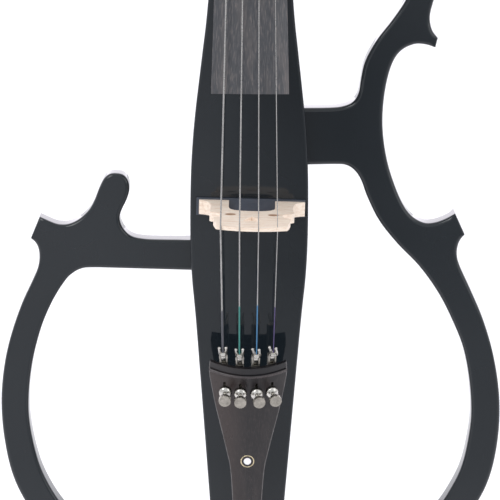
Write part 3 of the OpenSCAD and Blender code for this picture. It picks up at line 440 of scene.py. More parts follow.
def add_lacquered(name, bm, node):
    """A body part in place of its CAD node; the weights keep its flats flat beside the rolled edges."""
    o = add_piece(name, bm, LACQUER, "cello", "lacquered_wood", node)
    n = o.modifiers.new("smooth", "WEIGHTED_NORMAL")
    n.keep_sharp = True
    n.weight = 80


def welded(node):
    """A CAD node's mesh with its flat faces made whole."""
    bm = bmesh.new()
    bm.from_mesh(nodes[node].data)
    bmesh.ops.remove_doubles(bm, verts=bm.verts[:], dist=WELD)
    bmesh.ops.dissolve_limit(bm, angle_limit=FLAT, verts=bm.verts[:], edges=bm.edges[:])
    bm.normal_update()
    return bm


def make_spine(width):
    """The spine with its outer edges rolled over by the width."""
    bm = welded("spine")
    edges = [
        e
        for e in bm.edges
        if len(e.link_faces) == 2 and e.calc_face_angle() > math.radians(40) and spine_rim(e)
    ]
    bmesh.ops.bevel(
        bm,
        geom=edges,
        offset=width,
        offset_type="OFFSET",
        segments=5,
        profile=0.5,
        affect="EDGES",
        clamp_overlap=False,
    )
    # the front face's seams end on its outline, and the roll leaves those ends outside it
    outside = SPINE_HIGH.x - width + 0.0005
    for v in [v for v in bm.verts if abs(v.co.y - FRONT) < 1e-6 and abs(v.co.x) > outside]:
        near = min((e.other_vert(v) for e in v.link_edges), key=lambda n: (n.co - v.co).length)
        bmesh.ops.pointmerge(bm, verts=[v, near], merge_co=near.co.copy())
    add_lacquered("spine_lacquered", bm, "spine")


def rim(e):
    """True on an edge between a front or back face and a side wall."""
    a, b = (abs(f.normal.y) for f in e.link_faces)
    return max(a, b) > 0.9 and min(a, b) < 0.3


# parts of the spine's faces that keep sharp edges: half widths, and heights over the bridge
MIDDLE_HALF, SEAT_HALF, BAY_HALF = 0.0225, 0.047, 0.031
SEAT_HALF_HEIGHT, BAY_LOW, BAY_HIGH = 0.010, 0.015, 0.160


def spine_rim(e):
    """True on the spine's outline, but not round its bores, the pickup's seat or the bay."""
    m = (e.verts[0].co + e.verts[1].co) / 2
    up, aside = m.z - BRIDGE_Z, abs(m.x)
    if not rim(e) or aside < MIDDLE_HALF:
        return False
    if m.y < 0:
        return not (abs(up) < SEAT_HALF_HEIGHT and aside < SEAT_HALF)
    return not (aside < BAY_HALF and BAY_LOW < up < BAY_HIGH)


# how far a corner's turn, a corner's shift and a change of the roll's reach may go
TURN_LIMIT, SHIFT_LIMIT, REACH_SLOPE = 1.2, 1.8, 0.6


def roll_edges(bm, face, radius, joint, steps=5):
    """Rolls a flat face over at its outline; a stretch where joint(a, b) holds keeps its edge.

    Where the outline turns too tightly for the radius, the roll narrows and widens again.
    """
    ring = [loop.vert for loop in face.loops]
    out = face.normal.copy()
    count = len(ring)
    start = [v.co.copy() for v in ring]
    along = [start[(i + 1) % count] - start[i] for i in range(count)]
    inward = [out.cross(e.normalized()) for e in along]
    weight = [0.0 if joint(start[i], start[(i + 1) % count]) else 1.0 for i in range(count)]
    turn = []
    for i in range(count):
        a, b = inward[i - 1], inward[i]
        angle = math.copysign(a.angle(b, 0.0), out.dot(a.cross(b)))
        turn.append(max(-TURN_LIMIT, min(TURN_LIMIT, math.tan(angle / 2))))
    reach = [radius] * count
    for i in range(count):
        j = (i + 1) % count
        room = 0.9 * along[i].length / max(turn[i] + turn[j], 1e-6)
        if weight[i]:
            reach[i], reach[j] = min(reach[i], room), min(reach[j], room)
        if not weight[i] and not weight[i - 1]:
            reach[i] = 0.0
    for _ in range(2):
        for i in list(range(count)) + list(range(count - 1, -1, -1)):
            for j in ((i - 1) % count, (i + 1) % count):
                if weight[min(i, j) if abs(i - j) == 1 else max(i, j)]:
                    step = (start[i] - start[j]).length
                    reach[i] = min(reach[i], reach[j] + REACH_SLOPE * step)
    shift = []
    for i in range(count):
        a, b, wa, wb = inward[i - 1], inward[i], weight[i - 1], weight[i]
        cross = a.x * b.z - a.z * b.x
        if abs(cross) < 0.05:
            m = (a + b).normalized() * max(wa, wb)
        else:
            m = Vector(((wa * b.z - wb * a.z) / cross, 0, (wb * a.x - wa * b.x) / cross))
        shift.append(m * min(1.0, SHIFT_LIMIT / max(m.length, 1e-9)))
    material = face.material_index
    bm.faces.remove(face)
    rings = [ring]
    for k in range(steps + 1):
        t = math.pi / 2 * k / steps
        places = [
            start[i] - out * reach[i] * (1 - math.sin(t)) + shift[i] * reach[i] * (1 - math.cos(t))
            for i in range(count)
        ]
        if k == 0:
            for v, p in zip(ring, places):
                v.co = p
        else:
            rings.append([bm.verts.new(p) for p in places])
    for a, b in zip(rings, rings[1:]):
        for i in range(count):
            j = (i + 1) % count
            bm.faces.new((a[i], a[j], b[j], b[i])).material_index = material
    bm.faces.new(rings[-1]).material_index = material


# beyond half the spine's width where a frame meets it, short of the frame's own curves
SPINE_REACH = 0.0515


def make_wing(node, radius):
    """A side frame with both faces rolled over, except where it meets the spine."""
    bm = welded(node)
    flats = sorted(bm.faces, key=lambda f: -f.calc_area())[:2]

    def joint(a, b):
        m = (a + b) / 2
        return abs(m.x) < SPINE_REACH and abs((b - a).normalized().z) > 0.9

    for face in flats:
        roll_edges(bm, face, radius, joint)
    bmesh.ops.remove_doubles(bm, verts=bm.verts[:], dist=1e-6)
    add_lacquered(node + "_lacquered", bm, node)


def skinned(rings):
    """A closed skin over rings that all have the same number of points."""
    bm = bmesh.new()
    rows = [[bm.verts.new(p) for p in ring] for ring in rings]
    n = len(rows[0])
    for a, b in zip(rows, rows[1:]):
        for k in range(n):
            bm.faces.new((a[k], a[(k + 1) % n], b[(k + 1) % n], b[k]))
    bm.faces.new(rows[0][::-1])
    bm.faces.new(rows[-1])
    bmesh.ops.recalc_face_normals(bm, faces=bm.faces[:])
    return bm


def circle(radius, sides):
    """Points round the origin, as pairs."""
    turns = [2 * math.pi * k / sides for k in range(sides)]
    return [(radius * math.cos(a), radius * math.sin(a)) for a in turns]


def tube(points, radius, sides, radii=None):
    """A round tube through points, with no twist; radii gives each point its own radius."""
    rings = []
    side = None
    for i, p in enumerate(points):
        a = points[max(i - 1, 0)]
        b = points[min(i + 1, len(points) - 1)]
        along = (b - a).normalized()
        if side is None:
            side = along.cross(Vector((0, 1, 0.01))).normalized()
        side = (side - along * side.dot(along)).normalized()
        other = along.cross(side)
        r = radii[i] if radii else radius
        rings.append([p + side * x + other * y for x, y in circle(r, sides)])
    return skinned(rings)


def rounded_path(points, radius, steps):
    """The points with each corner turned on a small curve."""
    out = [points[0]]
    for a, p, b in zip(points, points[1:], points[2:]):
        start = p + (a - p).normalized() * min(radius, (a - p).length / 2)
        end = p + (b - p).normalized() * min(radius, (b - p).length / 2)
        for i in range(steps + 1):
            t = i / steps
            out.append(start * (1 - t) ** 2 + p * (2 * t * (1 - t)) + end * t**2)
    out.append(points[-1])
    return out


# ---------------------------------------------------------------- design points, as in the CAD source

# string radii and the neck's origin are in metres, the other measures in millimetres or degrees
STRING_R = dict(zip(STRINGS, (0.00085, 0.00065, 0.0005, 0.00038)))
CROWN_HEIGHT, CROWN_RADIUS, BRIDGE_SPACING = 91.5, 60, 15.7
NUT_RISE, NUT_TOP, NUT_SPACING = 1.4, 9.5, 7.4
BOARD_LENGTH, BOARD_RADIUS, BOARD_NUT_WIDTH, BOARD_END_WIDTH = 584, 62, 33, 64.5
TAIL_RADIUS, TUNER_INSET = 60, 23
# the string's hook, the claw's reach and the claw's mouth, up from a tuner's screw, and their depth
HOOK_UP, CLAW_REACH, CLAW_UP, CLAW_DEEP = 34.2, 39, 40.9, 2
PEG_R, PEG_TAPER = 6.5, 0.02
NECK_ORIGIN = Vector((0, FRONT + 0.010, BRIDGE_Z + 0.687))
NECK_TURN = Matrix.Rotation(math.radians(-7.72), 3, "X")
# pegs: side of the head, distance up the neck from the nut, distance forwards
PEGS = {"c": (-1, 26, -24), "g": (-1, 82, -34), "d": (1, 106, -37.5), "a": (1, 50, -28.5)}
WINDING_START = {"c": 7, "g": 4.5, "d": 4.5, "a": 7}
# tuners: screw and claw across the tailpiece, lean of the screw to the side
TUNER_X = {"c": -19.4, "g": -6.3, "d": 7.2, "a": 20.3}
CLAW_X = {"c": -21.4, "g": -7.4, "d": 7.4, "a": 21.7}
TUNER_LEAN = {"c": 0, "g": 0, "d": 8.5, "a": 10.5}


def neck_at(x, y, z):
    """A point of the neck's own frame, in mm, as a place in the row frame."""
    return NECK_ORIGIN + NECK_TURN @ (Vector((x, y, z)) / 1000)


def tail_at(p):
    """A point of the tailpiece's own frame, in mm, as a place in the row frame."""
    return TAIL_ORIGIN + TAIL_TURN @ (Vector(p) / 1000)


def sag(half, r):
    """How far an arch of radius r has dropped at a distance from its middle."""
    return r - math.sqrt(r * r - half * half)


def tuner_turn(s):
    """A tuner's lean and fan on the tailpiece."""
    fan = math.atan((CLAW_X[s] - TUNER_X[s]) / CLAW_REACH)
    return Matrix.Rotation(math.radians(TUNER_LEAN[s]), 3, "Z") @ Matrix.Rotation(fan, 3, "Y")


def tuner_at(s, x, y, z):
    """A point of a tuner's own frame, in mm: X across it, Y down its screw, Z towards the bridge."""
    base = Vector((TUNER_X[s], sag(TUNER_X[s], TAIL_RADIUS), -TUNER_INSET))
    return tail_at(base + tuner_turn(s) @ Vector((x, y, z)))


def peg_turn(s):
    """Turns a peg's own frame so that its Z runs out to its head."""
    return NECK_TURN @ Matrix.Rotation(math.radians(90 * PEGS[s][0]), 3, "Y")


def peg_at(s, x, y, z):
    """A point of a peg's own frame, in mm, as a place in the row frame."""
    side, up, forward = PEGS[s]
    return neck_at(0, -forward, up) + peg_turn(s) @ (Vector((x, y, z)) / 1000)


def string_points(s):
    """Where a string leaves its claw, crosses the bridge and the nut, and meets its peg."""
    order, r = STRINGS.index(s) - 1.5, STRING_R[s] * 1000
    x = order * BRIDGE_SPACING
    crown = Vector((x, -CROWN_HEIGHT + sag(x, CROWN_RADIUS) - 0.3 * r, -1.1)) / 1000
    crown += Vector((0, FRONT, BRIDGE_Z))
    x = order * NUT_SPACING
    nut = neck_at(x, sag(x, BOARD_RADIUS) - NUT_RISE - 0.2 * r, NUT_TOP)
    # the string runs from the nut on a tangent to the peg's winding
    side, up, forward = PEGS[s]
    turn_r = PEG_R + PEG_TAPER * WINDING_START[s] + 0.15 + r
    ahead, below = NUT_RISE - forward, NUT_TOP - up
    a = math.atan2(ahead, below) - math.acos(turn_r / math.hypot(below, ahead))
    peg = neck_at(
        side * WINDING_START[s], -(forward + turn_r * math.sin(a)), up + turn_r * math.cos(a)
    )
    return tuner_at(s, 0, CLAW_DEEP, CLAW_UP), crown, nut, peg


def between(a, b, z):
    """The point of a straight stretch at height z."""
    return a + (b - a) * ((z - a.z) / (b.z - a.z))


def steps_between(a, b, n):
    return [a + (b - a) * (i / n) for i in range(n + 1)]


# where the lower silk ends, down from the bridge, in metres
SILK_END = {"c": 0.0752, "g": 0.0702, "d": 0.0692, "a": 0.0717}


def make_string(s):
    """Silk over the tailpiece end, wound steel over the bridge and nut, silk again at the peg."""
    claw, crown, nut, peg = string_points(s)
    r = STRING_R[s]
    end = between(claw, crown, BRIDGE_Z - SILK_END[s])
    hook = tuner_at(s, 0, CLAW_DEEP, HOOK_UP)
    silk_bm = tube([hook, claw] + steps_between(claw, end, 24)[1:], r * 0.98, 14)
    low = add_piece("string_silk_" + s, silk_bm, SILKS[s], None, "string_" + s, "string_end_" + s)
    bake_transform(low)
    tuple(claw)
    board_end = nut + (peg - nut) * 0.16
    over_bridge = [between(end, crown, BRIDGE_Z - 0.004), crown, crown + (nut - crown) * 0.01]
    over_nut = [nut + (crown - nut) * 0.004, nut, board_end]
    path = [end + (claw - end).normalized() * 0.001] + steps_between(end, crown, 10)[:-1]
    path += rounded_path(over_bridge, 0.002, 4) + steps_between(crown, nut, 40)[1:-1]
    path += rounded_path(over_nut, 0.002, 4)
    steel = tube(path, r * (0.8 if s == "c" else 0.92), 14)
    add_piece("string_steel_" + s, steel, WOUND, "cello", "string_" + s, "string_" + s)
    upper = tube(steps_between(board_end, peg, 10), r * 0.95, 14)
    add_piece("string_peg_silk_" + s, upper, SILKS[s], "cello", "string_" + s)
    cap = [(0.0019, 0.0016), (0.0012, 0.0022), (0, 0.0022)]
    ball = lathe([(x, -z) for x, z in reversed(cap)] + cap, 20)
    turn = (TAIL_TURN @ tuner_turn(s)).to_4x4()
    ball.transform(Matrix.Translation(hook) @ turn @ Matrix.Rotation(math.radians(90), 4, "Y"))
    add_piece("string_ball_" + s, ball, BRIGHT, "tuner_lever_" + s, "brass")


def lathe(profile, sides):
    """A turned mesh round Z from (radius, height) points; 0 radius closes an end."""
    bm = bmesh.new()
    rings = []
    for r, z in profile:
        ring = circle(r, sides) if r > 1e-7 else [(0, 0)]
        rings.append([bm.verts.new((x, y, z)) for x, y in ring])
    for a, b in zip(rings, rings[1:]):
        for k in range(sides):
            j = (k + 1) % sides
            if len(a) == 1:
                bm.faces.new((a[0], b[j], b[k]))
            elif len(b) == 1:
                bm.faces.new((a[k], a[j], b[0]))
            else:
                bm.faces.new((a[k], a[j], b[j], b[k]))
    bmesh.ops.recalc_face_normals(bm, faces=bm.faces[:])
    return bm


def joined(*parts):
    """One mesh from several."""
    bm = bmesh.new()
    for part in parts:
        mesh = bpy.data.meshes.new("part")
        part.to_mesh(mesh)
        part.free()
        bm.from_mesh(mesh)
        bpy.data.meshes.remove(mesh)
    return bm


def curve(points, steps=6):
    """A smooth curve through the points."""
    out = []
    for i in range(len(points) - 1):
        a, b, c, d = (points[min(max(i + k, 0), len(points) - 1)] for k in (-1, 0, 1, 2))
        for j in range(steps):
            t = j / steps
            square, cube = 2 * a - 5 * b + 4 * c - d, 3 * b - a - 3 * c + d
            out.append(0.5 * (2 * b + (c - a) * t + square * t**2 + cube * t**3))
    return out + [points[-1]]


# the tailpiece's side edge: [half width, height from its upper end]
TAIL_EDGE = [
    (9, -216), (11.6, -210), (12, -195), (11.9, -165), (12.4, -130), (14.5, -97),
    (17.3, -82), (22, -61), (27.4, -38), (31.2, -18), (32.9, -6), (32.2, 2.6),
]


def make_tail_trim():
    """The tailpiece's polished side edges, drawn as thin pale tubes that are a painted highlight, and the
    rounded fret across its upper end.
    """
    for name, side in (("left", -1), ("right", 1)):
        line = curve([Vector((x - 0.25, 0, z)) for x, z in TAIL_EDGE])
        path = [tail_at((side * p.x, sag(p.x, TAIL_RADIUS) + 0.2, p.z)) for p in line[2:]]
        add_piece("tailpiece_edge_painted_highlight_" + name, tube(path, 0.00042, 10), PAINTED_EDGE_HIGHLIGHT, "cello", "rosewood")
    # the fret lies 7.5 mm below the tailpiece's hollow end and follows its curve
    half, steps, end_radius = 32.4, 32, 200.7
    path = []
    for i in range(steps + 1):
        x = half * (2 * i / steps - 1)
        path.append(tail_at((x, sag(x, TAIL_RADIUS) - 0.35, sag(x, end_radius) - 7.5)))
    add_piece("tailpiece_fret", tube(path, 0.0014, 14), FRET, "cello", "rosewood")


# turn of the prongs round the string
TUNER_TWIST = {"c": 0, "g": 0, "d": -24, "a": -30}
# the arm's side view and a prong's middle line, in the tuner's frame: [up, back] and [across, back, up]
LEVER_ARM = [
    (-3, 11.2), (-3, 9), (26.4, 9), (26.4, 5.2), (31, 4.6), (33.6, 4.6), (34.2, 6.6), (33, 9.8),
    (31.5, 11.2),
]
PRONG = [(1.6, 6.3, 31.4), (2.1, 4.6, 33.8), (2.5, 2.4, 36.6), (2.8, 0.6, 39.4), (2.8, -0.5, 41.4)]
KNOB_R = 0.00125


def make_lever(s):
    """A tuner's lever: a flat arm under the tailpiece and two curved prongs round the string."""
    twist = math.radians(TUNER_TWIST[s])

    def claw_at(x, y, z):
        a = twist * min(max((z - 31) / 4, 0), 1)
        y -= CLAW_DEEP
        across, deep = x * math.cos(a) - y * math.sin(a), x * math.sin(a) + y * math.cos(a)
        return tuner_at(s, across, CLAW_DEEP + deep, z)

    arm = bmesh.new()
    sides = [[arm.verts.new(tuner_at(s, x, y, z)) for z, y in LEVER_ARM] for x in (-1.8, 1.8)]
    arm.faces.new(sides[0][::-1])
    arm.faces.new(sides[1])
    for i in range(len(LEVER_ARM)):
        j = (i + 1) % len(LEVER_ARM)
        arm.faces.new((sides[0][i], sides[0][j], sides[1][j], sides[1][i]))
    bmesh.ops.recalc_face_normals(arm, faces=arm.faces[:])
    bmesh.ops.bevel(arm, geom=arm.edges[:], offset=0.0003, segments=2, profile=0.5, affect="EDGES")
    prongs = []
    for m in (-1, 1):
        path = curve([claw_at(m * x, y, z) for x, y, z in PRONG])
        n = len(path) - 1
        radii = [(1.75 - 0.85 * i / n) / 1000 for i in range(n + 1)]
        prongs.append(tube(path, 0, 14, radii))
        angles = [math.pi * k / 8 for k in range(9)]
        knob = lathe([(KNOB_R * math.sin(a), -KNOB_R * math.cos(a)) for a in angles], 16)
        knob.transform(Matrix.Translation(path[-1]))
        prongs.append(knob)
    add_piece("lever_" + s, joined(arm, *prongs), BRIGHT, "tuner_lever_" + s, "nickel", "tuner_lever_" + s)


def make_nuts():
    """The domed knurled nuts that hold the tuners on the tailpiece."""
    parts = []
    profile = [
        (5.3, -0.75), (5.3, 2.2), (5.05, 2.75), (4.3, 3.5), (3.2, 4.2), (2.2, 4.65), (1.72, 4.75),
        (1.72, 4.2),
    ]
    sides, knurls, knurl_depth = 72, 18, 0.22
    for s in STRINGS:
        bm = bmesh.new()
        rings = []
        for r, up in profile:
            ring = []
            for k in range(sides):
                a = 2 * math.pi * k / sides
                cut = knurl_depth * (1 - math.cos(knurls * a)) if r > 5.2 else 0.0
                place = tuner_at(s, (r - cut) * math.cos(a), -up, (r - cut) * math.sin(a))
                ring.append(bm.verts.new(place))
            rings.append(ring)
        for a, b in zip(rings, rings[1:]):
            for k in range(sides):
                bm.faces.new((a[k], a[(k + 1) % sides], b[(k + 1) % sides], b[k]))
        bm.faces.new(rings[0])
        bmesh.ops.recalc_face_normals(bm, faces=bm.faces[:])
        parts.append(bm)
    add_piece("tuner_nuts_domed", joined(*parts), BRIGHT, "cello", "nickel", "tuner_nuts")


def make_winding(s):
    """The string's end coiled on its peg, from where it arrives towards the pegbox's middle."""
    r = STRING_R[s]
    nut, peg = string_points(s)[2:]
    first = WINDING_START[s] / 1000
    local = peg_turn(s).transposed() @ (peg - peg_at(s, 0, 0, 0))
    arriving = peg_turn(s).transposed() @ (peg - nut)
    phase = math.atan2(local.y, local.x)
    way = math.copysign(1, local.x * arriving.y - local.y * arriving.x)
    turns, steps = 4.6, 28
    points = []
    for i in range(int(turns * steps) + 1):
        t = i / steps
        z = first - 1.95 * r * t
        radius = (PEG_R + PEG_TAPER * 1000 * z) / 1000 + 0.00003 + r
        a = phase + way * 2 * math.pi * t
        points.append(peg_at(s, 1000 * radius * math.cos(a), 1000 * radius * math.sin(a), 1000 * z))
    add_piece("coil_" + s, tube(points, r * 0.98, 10), SILKS[s], "peg_" + s, "string_" + s, "winding_" + s)


# ---------------------------------------------------------------- neck, pegbox and scroll

# in the neck's side view: [up the neck from the nut, forwards], in mm
SCROLL_EYE = (159, -19)
SCROLL_TURNS = 2.6
SCROLL_START = -0.03
# the volute's radius at its start and at its end, and the radius it winds round
SCROLL_R, SCROLL_END_R, EYE_R = 34, 7, 5.5
PEGBOX_FRONT = [(-6, -8.24), (8.9, -8.24), (9, -4), (60, -14.5), (100, -23), (122, -29), (159, -19)]
PEGBOX_BACK = [
    (-6, -28.8), (-4, -29.1), (4, -31.5), (16, -39.5), (34, -47), (60, -52.5), (90, -55.5), (118, -55.5),
    (140, -54.2), (159, -53),
]
CHANNEL_FLOOR = [(12, -22), (26, -36), (60, -44), (100, -47.5), (122, -46), (127, -38)]
# heights of the pegbox's rings, doubled at its steps
PEGBOX_RINGS = (
    [-6, -3, 0, 3, 6, 8.9, 9, 12, 12.1]
    + list(range(16, 120, 4))
    + [120, 122, 124.5, 127, 127.1, 132, 138, 145, 152, 159]
)


def along(points, z):
    """The value at z of a line through (z, value) points."""
    for (za, a), (zb, b) in zip(points, points[1:]):
        if z <= zb:
            return a + (b - a) * max(0.0, z - za) / (zb - za)
    return points[-1][1]


def ease(t):
    """A soft step from 0 to 1."""
    t = min(max(t, 0.0), 1.0)
    return t * t * (3 - 2 * t)


def board_half(z):
    """Half the fingerboard's width."""
    return (BOARD_NUT_WIDTH - z * (BOARD_END_WIDTH - BOARD_NUT_WIDTH) / BOARD_LENGTH) / 2


def under(z):
    """Depth of the fingerboard's underside below the middle of its surface."""
    return 8.24 - z * 6.81 / BOARD_LENGTH


def shaft_ring(top, back, half, power):
    """A section that lies flat against the fingerboard and is rounded at the back."""
    ring = []
    for i in range(37):
        a = math.pi * i / 36
        c, d = math.cos(a), math.sin(a)
        x = half * math.copysign(abs(c) ** (2 / power), c) / 1000
        ring.append(top + (back - top) * abs(d) ** (2 / power) + Vector((x, 0, 0)))
    return ring


# gap under the fingerboard, the shaft's lower end and the heel's length along the neck, in mm
BOARD_GAP, SHAFT_END, HEEL_LENGTH = 0.05, -222, 64.6
# half-round shaft and square heel: the power of the section's curve
SHAFT_POWER, HEEL_POWER = 2.15, 7.65
HEEL_LEVEL = BRIDGE_Z + 0.4021


def make_neck():
    """The shaft, which widens at its lower end into the heel on the spine's upper end."""
    rings = []
    for i in range(15):
        z = 6 + (SHAFT_END - 6) * i / 14
        depth = 29 + 5 * min(max(-2 - z, 0) / 238, 1)
        top, back = neck_at(0, under(z) + BOARD_GAP, z), neck_at(0, depth, z)
        rings.append(shaft_ring(top, back, board_half(z) - BOARD_GAP, SHAFT_POWER))
    # the back leaves the shaft on a curve and lands square on the spine's back face
    bend = [
        neck_at(0, 33.6, SHAFT_END),
        neck_at(0, 34.4, -250),
        Vector((0, BACK - 0.020, BRIDGE_Z + 0.409)),
        Vector((0, BACK, BRIDGE_Z + 0.408)),
    ]
    steps = 16
    for i in range(1, steps + 1):
        t = i / steps
        z = SHAFT_END - HEEL_LENGTH * t
        u = 1 - t
        back = bend[0] * u**3 + bend[1] * (3 * u * u * t) + bend[2] * (3 * u * t * t) + bend[3] * t**3
        power = SHAFT_POWER + (HEEL_POWER - SHAFT_POWER) * ease(t)
        rings.append(shaft_ring(neck_at(0, under(z) + BOARD_GAP, z), back, 22.5 + 1.2 * t, power))
    rings.append([Vector((p.x, p.y, HEEL_LEVEL)) for p in rings[-1]])
    foot = []
    for z in (-285, -305.2):
        top = neck_at(0, under(z) + BOARD_GAP, z)
        back = Vector((0, FRONT + 0.0006, top.z))
        foot.append(shaft_ring(top, back, 23.9, 7))
    add_piece("neck_shaft", skinned(rings), LACQUER, "cello", "lacquered_wood", "neck")
    add_piece("neck_foot", skinned(foot), LACQUER, "cello", "lacquered_wood", "neck")


def pegbox_ring(z):
    """The pegbox's section; below and above its open channel the floor lies just under its front."""
    half = 17 + (21 - (z + 6) / 21 - 17) * ease((z + 6) / 16)
    front, back = along(PEGBOX_FRONT, z), along(PEGBOX_BACK, z)
    channel = 12.3 - z * 4.1 / 130
    floor = along(CHANNEL_FLOOR, z) if 12 < z <= 127 else front - 0.03
    lip = min(floor + 2.5, front - 0.01)
    right = [(channel, lip), (channel, front - 0.005), (channel + 0.4, front)]
    right += [(half - 1.4, front), (half - 0.4, front - 0.4), (half, front - 1.4)]
    corner = 5.5
    for i in range(7):
        a = math.pi / 2 * i / 6
        right.append((half - corner + corner * math.cos(a), back + corner - corner * math.sin(a)))
    ring = [(channel - 2.5, floor)] + right + [(0, back)]
    ring += [(-x, f) for x, f in reversed(ring[:-1])]
    return [neck_at(x, -f, z) for x, f in ring]


def make_pegbox():
    """The pegbox, from the nut to the scroll's eye."""
    rings = [pegbox_ring(z) for z in PEGBOX_RINGS]
    add_piece("pegbox", skinned(rings), LACQUER, "cello", "lacquered_wood", "neck", angle=50)


def volute_r(t):
    """The volute's radius after t turns, which narrows evenly to the eye."""
    return SCROLL_R * (SCROLL_END_R / SCROLL_R) ** (t / SCROLL_TURNS)


def volute_ring(t):
    """The volute's fluted section after t turns; it reaches in to just inside the next turn."""
    r = volute_r(t)
    inner = max(0.92 * volute_r(t + 1), EYE_R) if t + 1 < SCROLL_TURNS else EYE_R
    half = 12.5 + 18.5 * (max(t, 0) / SCROLL_TURNS) ** 1.4
    soft = min(1.3, (r - inner) * 0.4)
    flute = 1.9 * min(1.0, (r - inner) / 12)
    side = [(half, inner), (half, r - soft), (half - 0.3 * soft, r - 0.3 * soft), (half - soft, r)]
    reach = half - soft - 0.4
    for i in range(1, 12):
        u = 1 - i / 12
        side.append((reach * u, r - flute * math.sin(math.pi * u) ** 1.5))
    ring = side + [(0, r)] + [(-x, q) for x, q in reversed(side)]
    a = 2 * math.pi * t
    up, forward = math.sin(a), -math.cos(a)
    return [neck_at(x, -(SCROLL_EYE[1] + forward * q), SCROLL_EYE[0] + up * q) for x, q in ring]


def make_scroll():
    """The volute: a fluted band that winds in and steps outwards to its eyes."""
    count = 104
    span = SCROLL_TURNS - SCROLL_START
    rings = [volute_ring(SCROLL_START + span * i / count) for i in range(count + 1)]
    add_piece("scroll", skinned(rings), LACQUER, "cello", "lacquered_wood", "neck", angle=45)
    cap = [(0.008, 0.029), (0.0078, 0.0303), (0.0069, 0.0313), (0.0052, 0.0319), (0, 0.032)]
    eye = lathe([(x, -z) for x, z in reversed(cap)] + cap, 40)
    turn = NECK_TURN @ Matrix.Rotation(math.radians(90), 3, "Y")
    eye.transform(Matrix.Translation(neck_at(0, -SCROLL_EYE[1], SCROLL_EYE[0])) @ turn.to_4x4())
    add_piece("scroll_eye", eye, LACQUER, "cello", "lacquered_wood", "neck")


# ---------------------------------------------------------------- body

make_spine(0.0021)
make_wing("left_wing", 0.0034)
make_wing("right_wing", 0.0034)
make_neck()
make_pegbox()
make_scroll()
dress("fingerboard", BOARD_WITH_PAINTED_SHEEN, 0.0008, 3)
dress("nut", EBONY, 0.0005)
dress("saddle", EBONY, 0.0006)
dress("bridge", MAPLE, 0.00045, 2)
dress("pickup_bar", PICKUP, 0.0005, 3)
dress("pickup_lead", PLASTIC, 0)
dress("tailpiece", ROSEWOOD, 0.0005, 3)
make_tail_trim()
dress("inlay_ring", BRASS, 0)
dress("inlay_dot", PEARL, 0.0002)
dress("tail_cord", CORD, 0)
dress("endpin_plug", EBONY, 0.0008, 3)
dress("endpin_ferrule", NICKEL, 0.0006, 3)
dress("endpin_thumbscrew", NICKEL, 0.0002)
dress("endpin_rod", STEEL, 0.0006, 3)
dress("endpin_tip", RUBBER, 0.0006, 3)
for s in STRINGS:
    make_string(s)
    make_winding(s)
    dress("peg_" + s, EBONY, 0.0007, 3)
    make_lever(s)
    dress("tuner_screw_" + s, NICKEL, 0.0002)
    dress("tuner_head_" + s, NICKEL_PAINTED_SHADE_AND_TARNISH, 0.0005, 3, angle=50)
dress("tuner_housings", NICKEL_PAINTED_SHADE_AND_TARNISH, 0.0003)
make_nuts()
dress("tuner_pins", STEEL, 0.0002)
dress("control_plate", PLASTIC, 0.0003)
dress("plate_screws", STEEL, 0.0002)
dress("volume_knob", PLASTIC, 0.0003)
dress("tone_knob", PLASTIC, 0.0003)
dress("power_switch", PLASTIC, 0.0003)
dress("output_jack", NICKEL, 0.0003)
dress("headphone_jack", NICKEL, 0.0003)
dress("preamp_board", CIRCUIT, 0.0002)
dress("battery", JACKET, 0.0008, 3)
dress("battery_door", PLASTIC, 0.0003)


# ---------------------------------------------------------------- studio


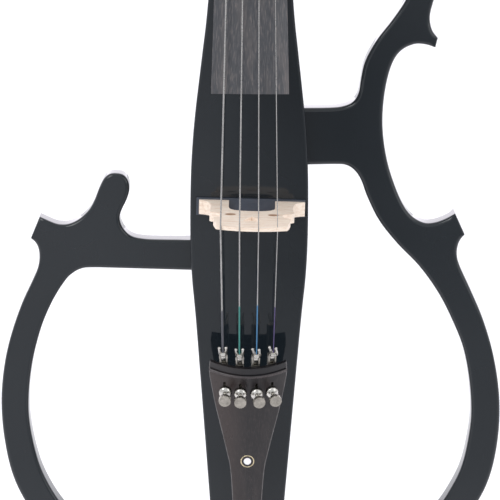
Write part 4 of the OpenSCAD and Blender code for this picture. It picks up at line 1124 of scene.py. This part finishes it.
def make_floor():
    """Pale paper, whose shading in front is what the black lacquer mirrors."""
    bm = bmesh.new()
    size = 40
    corners = [(-size, -size), (size, -size), (size, size), (-size, size)]
    bm.faces.new([bm.verts.new((x, y, 0)) for x, y in corners])
    s = Shader("floor_paper", (0.93, 0.93, 0.93), 0.9)
    axes = s.split(s.coords)
    # the paper falls into shade well in front of the cello, most of all to its right
    ahead = s.ramp(
        s.times(axes["Y"], -0.125), [(0.03, 0.0), (0.11, 0.38), (0.31, 0.42), (0.5, 0.44), (0.9, 0.26)]
    )
    right = s.ramp(
        s.times(s.times(axes["X"], 0.5), 0.5, "ADD"),
        [(0.375, 0.0), (0.47, 0.12), (0.5, 0.33), (0.59, 0.45), (0.65, 0.38), (0.9, 0.2)],
    )
    near = s.ramp(s.times(axes["Y"], -0.125), [(0.1, 0.2), (0.15, 0.4), (0.25, 0.85), (0.5, 1.0)])
    shade = s.times(ahead, s.times(right, near), "ADD")
    paper = s.mix((0.93, 0.93, 0.94), (0.0, 0.0, 0.0), shade)
    s.colour(s.mix(paper, (0.9, 0.9, 0.9), s.ramp(s.noise(3, detail=2), [(0.3, 0.0), (0.7, 0.06)])))
    s.bsdf.inputs["Emission Color"].default_value = (1, 1, 1, 1)
    s.bsdf.inputs["Emission Strength"].default_value = 0.05
    o = add_piece("floor", bm, s.material, None, None)


def make_light(name, place, size, power):
    """A soft lamp that faces the middle of the instrument."""
    data = bpy.data.lights.new(name, "AREA")
    data.shape = "RECTANGLE"
    data.size, data.size_y = size
    data.energy = power
    o = bpy.data.objects.new(name, data)
    o.location = place
    o.rotation_euler = (Vector((0, 0, 0.7)) - Vector(place)).to_track_quat("-Z", "Y").to_euler()
    bpy.context.scene.collection.objects.link(o)


def make_world():
    """A white studio: brightest low behind the cello, softer overhead and in front."""
    world = bpy.data.worlds.new("studio")
    bpy.context.scene.world = world
    world.use_nodes = True
    tree = world.node_tree
    background = tree.nodes["Background"]
    coords = tree.nodes.new("ShaderNodeTexCoord")
    split = tree.nodes.new("ShaderNodeSeparateXYZ")
    ramp = tree.nodes.new("ShaderNodeValToRGB")
    half = tree.nodes.new("ShaderNodeMapRange")
    half.inputs["From Min"].default_value = -1
    tree.links.new(coords.outputs["Generated"], split.inputs["Vector"])
    tree.links.new(split.outputs["Y"], half.inputs["Value"])
    tree.links.new(half.outputs["Result"], ramp.inputs["Fac"])
    tree.links.new(ramp.outputs["Color"], background.inputs["Color"])
    e = ramp.color_ramp.elements
    e[0].position, e[0].color = 0.25, (0.36, 0.37, 0.38, 1)
    e[1].position, e[1].color = 0.55, (0.42, 0.42, 0.43, 1)
    top = e.new(0.86)
    top.color = (0.95, 0.92, 0.985, 1)
    background.inputs["Strength"].default_value = 2.3


make_camera()
make_floor()
make_world()
make_light("key", (-1.6, -2.2, 2.6), (1.6, 1.6), 28)
make_light("fill", (2.2, -1.6, 1.6), (1.4, 2.0), 10)
bpy.context.scene.view_settings.view_transform = "Standard"
